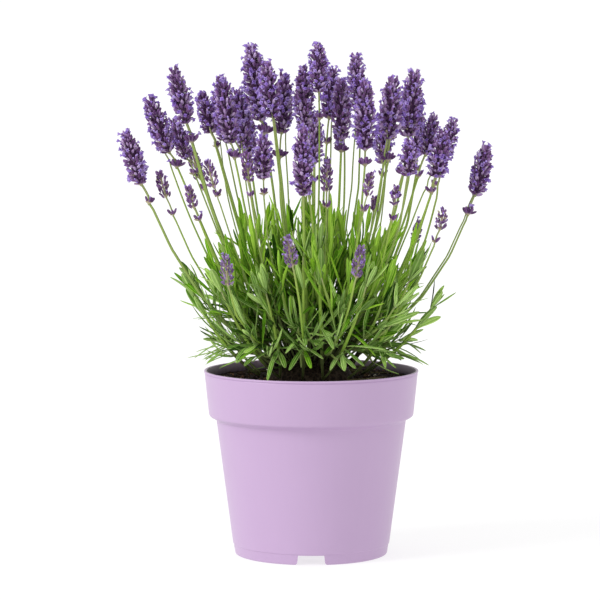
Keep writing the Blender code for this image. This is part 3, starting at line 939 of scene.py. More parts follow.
@dataclass
class NurseryPot:
    """A round moulded pot: lip, collar, tapered body, foot ring, notches and drain holes.

    Its rim and height are the frame's. Other sizes are in metres.
    """

    node: str = "nursery_pot"
    lip: float = 1.2 * MM
    lip_step: float = 0.4 * MM
    lip_groove: float = 0.35 * MM
    clean_lip: float = 0.7 * MM
    stain_and_shade_fade: float = 2.0 * MM
    wall: float = 1.6 * MM
    collar_foot: tuple[float, float] = (62.0 * MM, 84.6 * MM)
    body_top: tuple[float, float] = (57.4 * MM, 81.8 * MM)
    body_foot: tuple[float, float] = (47.6 * MM, 6.6 * MM)
    foot: float = 46.2 * MM
    foot_width: float = 3.0 * MM
    underside: float = 6.2 * MM
    floor: float = 8.0 * MM
    step_rise: float = 1.0 * MM
    shelf_rise: float = 2.0 * MM
    notch: tuple[float, float] = (15.6 * MM, 5.9 * MM)
    notch_flare: float = 0.4 * MM
    notch_corner: float = 2.0 * MM
    notch_count: int = 3
    drain: float = 4.5 * MM
    drain_circle: float = 31.0 * MM
    drain_steps: int = 40
    steps: int = 176

    BEND_STEPS = 6
    SHARP = math.radians(50)

    def __post_init__(self) -> None:
        """Takes the rim's radius and the height from the frame."""
        low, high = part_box(self.node)
        self.rim = (high[0] - low[0]) / 2
        self.height = high[2]

    def inner_wall(self, clear: float = 0.0) -> list[tuple[float, float, float]]:
        """The inside of the pot, from its floor to its rim, as corners to be rounded.

        Args:
            clear: How far inside the wall the corners lie.

        Returns:
            Radius, height and rounding of each corner.
        """
        wall = self.wall + clear
        body_foot, _ = self.body_foot
        body_top, body_top_z = self.body_top
        collar_foot, collar_foot_z = self.collar_foot
        return [
            (body_foot - wall - 0.6 * MM, self.floor + clear, 2.0 * MM),
            (body_top - wall, body_top_z + self.step_rise + clear, 0.8 * MM),
            (collar_foot - wall, collar_foot_z + self.shelf_rise + clear, 0.8 * MM),
            (self.rim - self.lip_step - wall + 0.4 * MM, self.height, 0.5 * MM),
        ]

    def outline(self) -> Array:
        """The wall's outline, from the middle of the floor inside to the underside."""
        ring = self.foot - self.foot_width
        under_lip = self.height - self.lip
        groove = self.rim - self.lip_step - self.lip_groove
        corners = [
            (0.0, self.floor, 0.0),
            *self.inner_wall(),
            (self.rim, self.height, 0.7 * MM),
            (self.rim, under_lip, 0.3 * MM),
            (groove, under_lip - 0.15 * MM, 0.15 * MM),
            (self.rim - self.lip_step, under_lip - 1.0 * MM, 0.3 * MM),
            (*self.collar_foot, 1.1 * MM),
            (self.body_top[0] + 0.2 * MM, self.body_top[1] + 0.3 * MM, 0.8 * MM),
            (*self.body_foot, 0.25 * MM),
            (self.body_foot[0] - 0.45 * MM, self.body_foot[1] - 0.4 * MM, 0.3 * MM),
            (self.foot, 0.0, 1.0 * MM),
            (ring, 0.0, 0.5 * MM),
            (ring + 0.4 * MM, self.underside, 0.6 * MM),
            (0.0, self.underside, 0.0),
        ]
        return rounded(corners, 7 * MM)

    def build(self) -> Object:
        """Turns the wall, cuts its notches and drain holes, and dresses it."""
        outline = self.outline()
        rings, ends = turned(outline[1:-1], self.steps), outline[[0, -1], 1:] * UP
        wall = Sweeps.single(LilacPlastic(), rings, ends, self.stain_and_shade_share(outline)[1:-1])
        mesh = Piece("lilac_nursery_pot", "pot_plastic", [wall]).mesh()
        mesh.uv_layers.remove(mesh.uv_layers[0])
        made = bpy.data.objects.new(mesh.name, mesh)
        bpy.context.scene.collection.objects.link(made)
        cutters = []
        for i in range(self.notch_count):
            angle = math.tau * (i / self.notch_count - 0.25)
            cutters += [self.notch_cutter(angle), self.drain_cutter(angle)]
        carve(made, cutters)
        made.data.shade_smooth()
        made.data.set_sharp_from_angle(angle=self.SHARP)
        return adopt(made, "pot_plastic", self.node)

    def stain_and_shade_share(self, outline: Array) -> Array:
        """How much soil stain and painted shade each point of the outline takes: only inside,
        below the lip.
        """
        inside = np.arange(len(outline)) <= outline[:, 1].argmax()
        below = self.height - self.clean_lip - outline[:, 1]
        return inside * (below / self.stain_and_shade_fade).clip(0, 1)

    def notch_cutter(self, angle: float) -> Object:
        """A bar across the foot ring that widens downwards and rounds out at the bottom."""
        wide, high = self.notch
        foot = wide / 2 + self.notch_flare
        corner = self.notch_corner
        bends = np.linspace(0, math.pi / 2, self.BEND_STEPS)
        edge = [(foot + corner * (1 - math.cos(t)), corner * (1 - math.sin(t))) for t in bends]
        side = [(foot + corner, -high), *reversed(edge), (wide / 2, high)]
        section = side + [(-x, z) for x, z in reversed(side)]
        out = compass(angle)
        along = compass(angle + math.pi / 2)
        ends = []
        for reach in (self.foot - 3 * self.foot_width, self.foot + 2 * self.foot_width):
            ends.append([out * reach + along * x + UP * z for x, z in section])
        return prism("notch", np.array(ends))

    def drain_cutter(self, angle: float) -> Object:
        """A round bar through the floor."""
        middle = compass(angle) * self.drain_circle
        ring = middle + self.drain * compass(full_turn(self.drain_steps))
        return prism("drain", np.stack([ring, ring + UP * 2 * self.floor]))


def rounded(corners: list[tuple[float, float, float]], longest: float) -> Array:
    """An outline with rounded corners and no long gaps between its points.

    Args:
        corners: Radius, height and rounding of each corner.
        longest: The longest gap that is left between points.

    Returns:
        Points as (radius, height).
    """
    points: list[Array] = []
    for i, (out, high, ease_by) in enumerate(corners):
        corner = np.array([out, high])
        if not ease_by:
            points.append(corner)
            continue
        before = np.array(corners[i - 1][:2]) - corner
        after = np.array(corners[i + 1][:2]) - corner
        sides = lengths([before, after])
        room = min(ease_by, sides.min() * MOST_ROUNDED)
        points += list(bow(corner + unit(before) * room, corner, corner + unit(after) * room, 6))
    dense = [points[0]]
    for first, last in zip(points[:-1], points[1:], strict=True):
        cuts = max(1, math.ceil(float(np.linalg.norm(last - first)) / longest))
        dense += [first + (last - first) * k / cuts for k in range(1, cuts + 1)]
    return np.array(dense)


def turned(outline: Array, steps: int) -> Array:
    """Rings round the upright axis.

    Args:
        outline: Points as (radius, height).
        steps: How many points each ring has.

    Returns:
        Points, as (ring, side, xyz).
    """
    return outline[:, :1, None] * compass(full_turn(steps)) + outline[:, 1:, None] * UP


def prism(name: str, ends: Array) -> Object:
    """A closed bar between two flat ends of the same outline.

    Args:
        name: The object's name.
        ends: The outlines, as (2, point, xyz).

    Returns:
        The bar, which isn't in any collection.
    """
    count = ends.shape[1]
    here = list(range(count))
    walls = [(i, (i + 1) % count, (i + 1) % count + count, i + count) for i in here]
    mesh = bpy.data.meshes.new(name)
    caps = [tuple(reversed(here)), tuple(i + count for i in here)]
    mesh.from_pydata(ends.reshape(-1, 3).tolist(), [], walls + caps)
    cage = bmesh.new()
    cage.from_mesh(mesh)
    bmesh.ops.recalc_face_normals(cage, faces=cage.faces)
    cage.to_mesh(mesh)
    cage.free()
    return bpy.data.objects.new(name, mesh)


def carve(made: Object, cutters: list[Object]) -> None:
    """Cuts bars out of an object and removes them."""
    for cutter in cutters:
        bpy.context.scene.collection.objects.link(cutter)
        cut = made.modifiers.new(cutter.name, "BOOLEAN")
        cut.operation = "DIFFERENCE"
        cut.object = cutter
    bpy.context.view_layer.update()
    graph = bpy.context.evaluated_depsgraph_get()
    mesh = bpy.data.meshes.new_from_object(made.evaluated_get(graph))
    made.modifiers.clear()
    made.data = mesh
    for cutter in cutters:
        bpy.data.objects.remove(cutter, do_unlink=True)


def rough(points: Array, size: float, seed: float = 0.0) -> Array:
    """Noise from -1 to 1 at each point, with blotches of about this size."""
    shift = Vector((seed, 2 * seed, 3 * seed))
    flat = points.reshape(-1, 3)
    values = [noise.noise(Vector(point) / size + shift) for point in flat]
    return np.array(values).reshape(points.shape[:-1])


def lumps(
    finish: Finish, middles: Array, arms: Array, tone: Array, rng: np.random.Generator
) -> Sweeps:
    """Small broken lumps.

    Args:
        finish: What they wear.
        middles: The middle of each.
        arms: The three half axes of each, as (lump, axis, xyz), the longest first.
        tone: A number from 0 to 1 for each.
        rng: Draws the broken faces.

    Returns:
        The lumps.
    """
    heights, along = np.array([-0.72, 0.0, 0.72]), np.array([0.2, 0.5, 0.8])
    turn = full_turn(LUMP_SIDES)
    broken = rng.uniform(0.72, 1.15, (len(middles), len(heights), LUMP_SIDES))
    reach = np.sqrt(1 - heights**2)[None, :, None] * broken
    cos, sin = (reach * np.cos(turn))[..., None], (reach * np.sin(turn))[..., None]
    long, wide, thick = (arms[:, k, None, None] for k in range(3))
    rings = middles[:, None, None] + long * heights[:, None, None] + wide * cos + thick * sin
    starts, ends = middles - arms[:, 0], middles + arms[:, 0]
    return Sweeps(finish, rings, starts, ends, tone, along, np.zeros(LUMP_SIDES))


@dataclass
class CompostBed:
    """The compost: an uneven top with chips, fibres and grains, down to the pot's floor.

    Attributes:
        clear: The gap to the pot's wall.
        rise: How high the top's larger and smaller bumps are.
        bits: How many loose bits lie on it.
        dead: How many fallen leaves lie on it.
        sunk: How far its bumps' middle height lies below the frame's top.
        longest_bit: The longest half length of a bit.
        wall_room: The room between the bits and the pot's wall.
    """

    pot: NurseryPot
    node: str = "compost"
    clear: float = 0.35 * MM
    rise: float = 1.3 * MM
    bits: int = 950
    dead: int = 34
    rings: int = 50
    steps: int = 170
    seed: int = 11
    sunk: float = 0.4 * MM
    longest_bit: float = 4.2 * MM
    wall_room: float = 0.6 * MM

    BUMPS = ((11 * MM, 0.7, 0.8), (3.6 * MM, 1.9, 0.55), (1.5 * MM, 4.1, 0.8))
    # The loose bits: shares of kinds, sizes in millimetres, and shapes.
    FIBRES, PALE = 0.25, 0.035
    BIT, BIT_SPREAD, BIT_SIZES = 0.75, 0.42, (0.35, 2.3)
    FIBRE_LONG, FIBRE_WIDE, CHIP_WIDE, CHIP_THICK = (2.4, 4.5), 0.28, (0.5, 0.9), (0.3, 0.7)

    def __post_init__(self) -> None:
        """Takes the height of the compost from the frame."""
        self.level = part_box(self.node)[1][2] - self.sunk
        *_, (shoulder, shoulder_z, _), (rim, rim_z, _) = self.pot.inner_wall(self.clear)
        share = (rim_z - self.level) / (rim_z - shoulder_z)
        self.edge = rim + (shoulder - rim) * share

    def top(self, spots: Array) -> Array:
        """How high the surface stands above its level at these points.

        Each row of BUMPS has the size, the seed and the height of one kind of bump.
        """
        flat = spots * LEVEL
        broad, middle, fine = (high * rough(flat, size, seed) for size, seed, high in self.BUMPS)
        return self.rise * (broad + middle + np.abs(fine) - 0.3)

    def ground(self) -> Sweeps:
        """The compost itself, as one turned body with an uneven top."""
        outs = np.linspace(0, 1, self.rings + 1)[1:] ** 0.85 * (self.edge - 0.3 * MM)
        top = np.stack([outs, np.full(self.rings, self.level)], -1)
        wall = [(self.edge, self.level - 2.5 * MM)]
        wall += [(out, high) for out, high, _ in reversed(self.pot.inner_wall(self.clear)[:-1])]
        rings = turned(np.concatenate([top, wall]), self.steps)
        rings[: self.rings, :, 2] += self.top(rings[: self.rings])
        ends = np.array([[self.level], [self.pot.floor + self.clear]]) * UP
        return Sweeps.single(Peat(), rings, ends, np.linspace(0, 1, len(rings)))

    def loose_bits(self) -> Sweeps:
        """Chips, fibres and grains that lie half sunk in the top."""
        rng = np.random.default_rng(self.seed)
        count = self.bits
        out = np.sqrt(rng.uniform(0.12, 1, count)) * (self.edge - 2.2 * MM)
        spots = out[:, None] * compass(rng.uniform(0, math.tau, count))
        heights = self.level + self.top(spots)
        size = np.exp(rng.normal(math.log(self.BIT), self.BIT_SPREAD, count))
        size = size.clip(*self.BIT_SIZES) * MM
        fibre = rng.random(count) < self.FIBRES
        long = np.where(fibre, size * rng.uniform(*self.FIBRE_LONG, count), size)
        wide = size * np.where(fibre, self.FIBRE_WIDE, rng.uniform(*self.CHIP_WIDE, count))
        thick = np.where(fibre, wide, size * rng.uniform(*self.CHIP_THICK, count))
        long = np.minimum(long, self.longest_bit)
        spots[:, 2] = heights + thick * 0.25
        first = unit(rng.normal(0, 1, (count, 3)) * [1, 1, 0.28])
        second = square_to(first, rng.normal(0, 0.5, (count, 3)) + [0, 0, 0.2])
        third = np.cross(first, second)
        room = self.edge - self.wall_room - lengths(spots[:, :2])
        long = np.minimum(long, np.maximum(room, wide))
        sizes = np.stack([long, wide, thick], 1)[..., None]
        arms = np.stack([first, third, second], 1) * sizes
        pale = rng.random(count) < self.PALE
        tone = np.where(pale & ~fibre, 1.0, rng.beta(1.7, 1.6, count) * 0.92)
        return lumps(BarkBits(), spots, arms, tone, rng)

    def build(self) -> Object:
        """Makes the compost with its bits."""
        piece = Piece("compost_bed", "compost")
        piece.add(self.ground(), self.loose_bits(), self.dead_leaves())
        return piece.build(self.node)

    def dead_leaves(self) -> Sweeps:
        """Thin curled leaves that have fallen between the plant and the rim."""
        rng = np.random.default_rng(self.seed + 1)
        count = self.dead
        turn = rng.uniform(0, math.tau, count)
        out = rng.uniform(0.6, 0.86, count) * self.edge
        feet = out[:, None] * compass(turn)
        feet[:, 2] = self.level + self.top(feet) + rng.uniform(0.8, 2.6, count) * MM
        aim = turn + math.pi / 2 + rng.normal(0, 0.5, count) + math.pi * (rng.random(count) < 0.5)
        ways = compass(aim)
        leaves = Leaves.facing(
            compass(turn) * rng.choice([-1.0, 1.0], (count, 1)),
            feet,
            ways,
            long=rng.uniform(11, 20, count) * MM,
            wide=rng.uniform(0.45, 0.8, count) * MM,
            curl=rng.uniform(0.3, 1.1, count),
            sag=np.zeros(count),
            tone=rng.random(count),
        )
        reach = np.linalg.norm(leaves.spots(np.linspace(0.3, 1, 6))[..., :2], axis=-1).max(1)
        return leaves.kept(reach < self.edge - 1.2 * MM).sweeps(DeadLeaf())


@dataclass
class Crown:
    """The plant's woody base: a knotted stool and the short branches that rise from it.

    Attributes:
        skirt: The height of the stool's edge.
        burr_height: How high its burrs stand.
    """

    node: str = "woody_crown"
    branches: int = 26
    seed: int = 23
    skirt: float = 1.2 * MM
    burr_height: float = 1.6 * MM

    STEPS, RINGS = 72, 9

    def __post_init__(self) -> None:
        """Takes the stool's size from the frame and plans the branches."""
        low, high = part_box(self.node)
        self.low, self.high = low[2], high[2]
        self.radius = (high[0] - low[0]) / 2
        self.middle = np.array([0.0, 0.0, self.low])
        self.paths = self.branch_paths()

    def stool(self) -> Sweeps:
        """A low dome with burrs and furrows."""
        share = np.linspace(0, 1, 24)[1:]
        outs = self.radius * np.sin(share * math.pi / 2)
        rise = (self.high - self.low) * 0.98
        heights = self.low + self.skirt + (rise - self.skirt) * np.cos(share * math.pi / 2)
        outline = np.stack([outs, heights], -1)
        outline = np.concatenate([outline, [[self.radius - 1 * MM, self.low]]])
        rings = turned(outline, self.STEPS)
        burr = rough(rings, 7 * MM, 0.3) + 0.5 * rough(rings, 2.5 * MM, 2.2)
        keep = (rings[..., 2:] - self.low) / rise
        rings = rings + unit(rings - self.middle) * (burr[..., None] * self.burr_height * keep)
        ends = np.array([self.middle + UP * rise, self.middle])
        return Sweeps.single(OldWood(), rings, ends, np.full(len(rings), 0.2))

    def branch_paths(self) -> Array:
        """Where the branches run, from inside the stool outwards and up."""
        rng = np.random.default_rng(self.seed)
        k = np.arange(self.branches)
        out = compass(k * GOLDEN_TURN + rng.normal(0, 0.12, self.branches))
        share = ((k + 0.5) / self.branches) ** 0.6
        feet = out * (self.radius * 0.55 * share)[:, None]
        feet[:, 2] = self.low + 5 * MM
        ways = leaning(UP, out, np.radians(8 + 66 * share))
        long = rng.uniform(17, 27, self.branches)[:, None] * MM
        t = np.linspace(0, 1, self.RINGS)[None, :, None]
        lift = UP * (0.35 * share)[:, None, None]
        wobble = rng.normal(0, 0.9 * MM, (self.branches, self.RINGS, 3)) * t
        return feet[:, None] + long[:, None] * (ways[:, None] * t + lift * t * t) + wobble

    def build(self) -> Object:
        """Makes the stool and its branches."""
        rng = np.random.default_rng(self.seed + 1)
        count = self.branches
        thick = rng.uniform(1.5, 2.5, (count, 1)) * MM
        taper = np.linspace(1.25, 0.62, self.RINGS)
        knots = 1 + 0.16 * rng.normal(0, 1, (count, self.RINGS))
        radii = thick * taper * knots.clip(0.75, 1.35)
        piece = Piece("woody_crown_and_branches", "old_wood")
        wood = tubes(OldWood(), self.paths, radii, 9, rng.random(count), 0.07)
        piece.add(self.stool(), wood)
        return piece.build(self.node)


# Leaves


@dataclass
class Leaves:
    """Places for many leaves, each of them a row in these arrays.

    Attributes:
        feet: Where each leaf leaves its stem.
        ways: The direction that it starts in.
        faces: The direction that its upper face looks in.
        long: Its length.
        wide: Its half width.
        curl: How far it bends back from its upper face over its length, in radians.
        sag: How far it hangs down over its length, in radians.
        tone: From 0, dark, to 1, bright.
    """

    feet: Array
    ways: Array
    faces: Array
    long: Array
    wide: Array
    curl: Array
    sag: Array
    tone: Array

    OUTLINE = ((0.0, 0.36), (0.2, 0.58), (0.4, 0.9), (0.6, 1.0), (0.79, 0.85), (0.92, 0.55))
    LAST = 0.975
    SECTION = ((1.0, -0.12), (0.5, 0.1), (0.0, -0.02), (-0.5, 0.1), (-1.0, -0.12), (0.0, -0.3))
    ACROSS = (1.0, 0.5, 0.0, 0.5, 1.0, 2.0)

    def bend(self) -> Array:
        """How the direction of each leaf changes from its foot to its tip."""
        return UP * -self.sag[:, None] - self.faces * self.curl[:, None]

    def spots(self, share: Array) -> Array:
        """Points on the leaves' midribs at these shares of their length."""
        t = share[None, :, None]
        run = self.ways[:, None] * t + 0.5 * self.bend()[:, None] * t * t
        return self.feet[:, None] + self.long[:, None, None] * run

    def sweeps(self, finish: Finish) -> Sweeps:
        """The leaves' blades."""
        share, wide = np.array([*self.OUTLINE, (self.LAST, 0.3)]).T
        middles = self.spots(share)
        ways = unit(self.ways[:, None] + self.bend()[:, None] * share[None, :, None])
        side = unit(np.cross(ways, self.faces[:, None]))
        up = np.cross(side, ways)
        half = (self.wide[:, None] * wide)[..., None, None]
        right, rise = np.array(self.SECTION).T
        rings = middles[:, :, None] + half * (
            side[:, :, None] * right[:, None] + up[:, :, None] * rise[:, None]
        )
        ends = self.spots(np.ones(1))[:, 0]
        across = np.array(self.ACROSS)
        return Sweeps(finish, rings, self.feet, ends, self.tone, share, across)

    def kept(self, keep: Array) -> "Leaves":
        """Only some of the leaves."""
        return Leaves(*(getattr(self, item.name)[keep] for item in fields(self)))

    @classmethod
    def facing(cls, look: Array, feet: Array, ways: Array, **rest: Array) -> "Leaves":
        """Leaves whose upper faces look this way, or as near to it as their own lets them."""
        return cls(feet=feet, ways=ways, faces=square_to(ways, look), **rest)

    @staticmethod
    def joined(groups: list["Leaves"]) -> "Leaves":
        """Several lists of leaves in one."""
        names = [item.name for item in fields(Leaves)]
        return Leaves(*(np.concatenate([getattr(g, n) for g in groups]) for n in names))


@dataclass
class PotRim:
    """Keeps leaves out of the pot's wall and the compost.

    Attributes:
        gap: The room that is left free.
        above: How far above the rim leaves stay that reach over it.
        dark_below: The height above the compost below which little light comes.
        dark_beyond: The distance from the pot's axis beyond which that is so.
    """

    pot: NurseryPot
    bed: CompostBed
    gap: float = 1.6 * MM
    above: float = 4.0 * MM
    dark_below: float = 21 * MM
    dark_beyond: float = 34 * MM

    THINNED = 0.85
    LIFT, STIFFEN = 0.16, 0.7

    def thin(self, leaves: Leaves, seed: int) -> Leaves:
        """Fewer leaves just above the compost, where little light comes.

        Args:
            leaves: The leaves.
            seed: Seed of the choice.

        Returns:
            Those that are kept.
        """
        spots = leaves.spots(np.array([0.7]))[:, 0]
        out = lengths(spots[:, :2])
        low = (spots[:, 2] < self.bed.level + self.dark_below) & (out > self.dark_beyond)
        chance = np.random.default_rng(seed).random(len(low))
        return leaves.kept(~low | (chance > self.THINNED))

    def lift(self, leaves: Leaves, tries: int = 7) -> Leaves:
        """Leaves that clear the rim and the compost, less those that can't.

        Args:
            leaves: The leaves, whose ways and sag are changed.
            tries: How many times they are raised.

        Returns:
            The leaves that are clear.
        """
        for _ in range(tries):
            low = self.blocked(leaves)
            leaves.ways[low] = unit(leaves.ways[low] + UP * self.LIFT)
            leaves.faces[low] = square_to(leaves.ways[low], leaves.faces[low])
            leaves.sag[low] *= self.STIFFEN
        return leaves.kept(~self.blocked(leaves))

    def blocked(self, leaves: Leaves) -> Array:
        """Which leaves touch the wall or the compost."""
        spots = leaves.spots(np.linspace(0.15, 1, 8))
        out = lengths(spots[..., :2])
        high = spots[..., 2]
        in_wall = (out > self.bed.edge - self.gap) & (high < self.pot.height + self.above)
        in_compost = (out <= self.bed.edge) & (high < self.bed.level + self.gap)
        return (in_wall | in_compost).any(1)


@dataclass
class Mound:
    """The rounded outline that the leaves fill.

    Attributes:
        middle: The point on the compost that it is measured from.
        slim: The half width below which leaves may reach a little farther.
    """

    middle: Array
    slim: float = 0.85 * MM

    LEANS = np.radians([0, 29, 40, 55, 64, 74, 84, 97])
    REACH = np.array([108, 111, 105, 99, 86, 75, 63, 57]) * MM
    LEAST = 0.58
    RAGGED = (0.78, 1.09)
    INNER, OUTER = 0.45, 0.85
    GLOOM = 0.2
    FRINGE = 1.2

    def reach(self, lean: Array | float) -> Array | float:
        """How far it lies from its middle in directions, by their lean from upright."""
        return np.interp(lean, self.LEANS, self.REACH)

    def fit(self, leaves: Leaves, seed: int) -> Leaves:
        """Leaves cut short where they would stick out of the outline, darkened inside it with
        painted shade.

        Args:
            leaves: The leaves, whose lengths and tones are changed.
            seed: Seed of the outline's raggedness.

        Returns:
            The leaves that have room for most of their length.
        """
        ragged = np.random.default_rng(seed).uniform(*self.RAGGED, len(leaves.long))
        tips = leaves.spots(np.ones(1))[:, 0] - self.middle
        out = lengths(tips)
        ragged = ragged * np.where(leaves.wide < self.slim, self.FRINGE, 1.0)
        limit = self.reach(np.arccos(tips[:, 2] / out)) * ragged
        start = lengths(leaves.feet - self.middle)
        room = (limit - start) / np.maximum(out - start, 1 * MM)
        room = np.where(out > limit, room, 1.0)
        leaves.long = leaves.long * room.clip(0, 1)
        # Painted shade: the tone of leaves deep inside the mound drops towards GLOOM.
        leaves.tone = leaves.tone * (self.GLOOM + (1 - self.GLOOM) * self.light_at(leaves))
        return leaves.kept(room > self.LEAST)

    def light_at(self, leaves: Leaves) -> Array:
        """How much painted light each leaf takes, from 0, in painted shade well inside the mound,
        to 1 outside.
        """
        spots = leaves.spots(np.array([0.6]))[:, 0] - self.middle
        out = lengths(spots)
        share = out / self.reach(np.arccos(spots[:, 2] / out))
        return ease((share - self.INNER) / (self.OUTER - self.INNER))


@dataclass
class Sprig:
    """One leafy stem.

    Attributes:
        path: Its centre line, from foot to tip.
        turn: Which way its first pair of leaves points, in radians.
        vigour: From 0, low and old, to 1, high and young.
        broad: How wide its leaves are, as a factor.
        bare: The share of its length below its first pair of leaves.
        spacing: The distance from pair to pair.
        stout: The stem's radius.
        feet_out: How far from the stem's middle the leaves start.
        leaf_long: The leaves' length on the oldest and on the youngest stem.
    """

    path: Array
    turn: float
    vigour: float
    broad: float
    bare: float
    seed: int
    spacing: float = 7.8 * MM
    stout: float = 0.95 * MM
    feet_out: float = 0.5 * MM
    leaf_long: tuple[float, float] = (21 * MM, 31 * MM)

    LENGTH, OPEN_WIDE, OLD, SPARSE, CURL = 1.0, 0.0, 0.5, 1.3, 0.06
    NEEDLE, NEEDLE_LENGTH, NEEDLE_LIFT, NEEDLE_CURL = 0.62, 1.2, 2.3, -0.3
    # For the oldest and for the youngest stem.
    LIMP, WIDE, TIGHT = (0.4, 0.06), (82, 44), (22, 13)
    # What varies from leaf to leaf.
    UNEVEN, GIRTH = (0.78, 1.18), (1.15, 1.9)

    @property
    def needle(self) -> bool:
        """Whether its leaves are as thin as needles."""
        return self.broad < self.NEEDLE

    def stations(self) -> Array:
        """Shares of the stem's length at which it has pairs of leaves, closer near the tip."""
        long = lengths(np.diff(self.path, axis=0)).sum()
        gap = self.spacing * (self.SPARSE if self.needle else 1)
        count = max(3, round(long * (1 - self.bare) / gap))
        even = np.linspace(0, 1, count)
        rise = 1.3 * even - 0.3 * even**2
        return np.concatenate([self.bare + (1 - self.bare) * rise, [1.0, 1.0]])

    def leaves(self) -> Leaves:
        """Opposite pairs, each turned a quarter from the last, and a tuft at the tip."""
        rng = np.random.default_rng(self.seed)
        at = self.stations()
        rank = np.concatenate([np.zeros(len(at) - 3), [0.0, 1.0, 2.0]])
        middles = along_path(self.path, at)
        ahead = unit(middles - along_path(self.path, at - 0.06))
        ahead[1:] = unit(ahead[1:] + ahead[:-1])
        long = between(self.leaf_long, self.vigour)
        long = long * (self.NEEDLE_LENGTH if self.needle else self.LENGTH)
        opening = between(self.WIDE, self.vigour), between(self.TIGHT, self.vigour)
        pairs = []
        for flip in (0.0, math.pi):
            turn = self.turn + np.arange(len(at)) * math.pi / 2 + flip
            turn = turn + rng.normal(0, 0.25, len(at))
            out = spun(ahead, any_square(ahead), turn)
            spread = between(opening, ease(at * 1.05)) - 5 * rank + rng.normal(0, 8, len(at))
            spread = np.radians((spread + self.OPEN_WIDE * (1 - at)).clip(6, 100))
            ways = leaning(ahead, out, spread)
            size = 0.68 + 0.36 * np.sin(np.clip(at * 1.1, 0, 1) * math.pi * 0.78)
            size = size * (1 - 0.2 * rank) * rng.uniform(*self.UNEVEN, len(at))
            level = np.sqrt(1 - ways[:, 2] ** 2)
            curl = rng.normal(self.NEEDLE_CURL if self.needle else self.CURL, 0.4, len(at))
            hang = rng.uniform(-0.3, 1.2, len(at)) - (self.NEEDLE_LIFT if self.needle else 0)
            tone = 0.3 + 0.12 * self.vigour + 0.24 * at + rng.normal(0, 0.28, len(at))
            girth = self.broad * rng.uniform(*self.GIRTH, len(at)) * (0.7 + 0.35 * size)
            pairs.append(
                Leaves.facing(
                    ahead,
                    middles + out * self.feet_out,
                    ways,
                    long=long * size,
                    wide=girth * MM,
                    curl=curl - 0.1 * self.vigour,
                    sag=between(self.LIMP, self.vigour) * level * hang,
                    tone=tone.clip(0, 1),
                )
            )
        return Leaves.joined(pairs)

    def tufts(self) -> Leaves:
        """Small young leaves in the angles of the larger ones."""
        rng = np.random.default_rng(self.seed + 1)
        at = np.repeat(self.stations()[1:-3:2], 2)
        count = len(at)
        middles = along_path(self.path, at)
        ahead = unit(along_path(self.path, at + 0.02) - along_path(self.path, at - 0.05))
        out = spun(ahead, any_square(ahead), self.turn + rng.uniform(0, math.tau, count))
        ways = leaning(ahead, out, rng.uniform(0.2, 0.7, count))
        tone = (0.3 + 0.5 * self.vigour + rng.normal(0, 0.14, count)).clip(0, 1)
        return Leaves.facing(
            ahead,
            middles + out * self.feet_out,
            ways,
            long=rng.uniform(8, 15, count) * MM,
            wide=rng.uniform(0.6, 1.0, count) * MM,
            curl=rng.normal(0.1, 0.2, count),
            sag=np.full(count, 0.05),
            tone=tone,
        )

    def dress(self) -> Finish:
        """What its leaves wear."""
        return FeltedLeaf() if self.vigour < self.OLD else NarrowLeaf()

    def stem(self) -> tuple[Array, Array]:
        """The stem's own points and radii, thicker at each pair of leaves."""
        share = np.linspace(0, 1, 15)
        radii = 0.72 + 0.34 * np.sin(math.pi * share**0.8) + 0.08 * np.cos(share * 40)
        radii = radii * (1.15 - share).clip(0.1, 0.3) / 0.3
        return along_path(self.path, share), radii * self.stout * (0.75 + 0.25 * self.vigour)


@dataclass
class Leader(Sprig):
    """One of the stout leafy stems on the outside, with pairs of large leaves far apart."""

    spacing: float = 14 * MM
    stout: float = 1.12 * MM

    LENGTH, OPEN_WIDE, OLD = 0.85, 34.0, 1.0
    SKIRT = 4

    def skirt(self) -> Leaves:
        """The old leaves at its foot, which hang towards the rim."""
        rng = np.random.default_rng(self.seed + 2)
        feet = along_path(self.path, rng.uniform(0.3, 0.45, self.SKIRT))
        out = unit(feet * LEVEL)
        side = np.cross(UP, out) * rng.uniform(-1.1, 1.1, (self.SKIRT, 1))
        ways = unit(out + side - UP * rng.uniform(0.0, 0.5, (self.SKIRT, 1)))
        return Leaves.facing(
            np.tile(UP, (self.SKIRT, 1)),
            feet,
            ways,
            long=rng.uniform(16, 24, self.SKIRT) * MM,
            wide=rng.uniform(1.4, 1.95, self.SKIRT) * MM,
            curl=rng.normal(0.15, 0.2, self.SKIRT),
            sag=rng.uniform(0.1, 0.5, self.SKIRT),
            tone=rng.uniform(0.35, 0.75, self.SKIRT),
        )


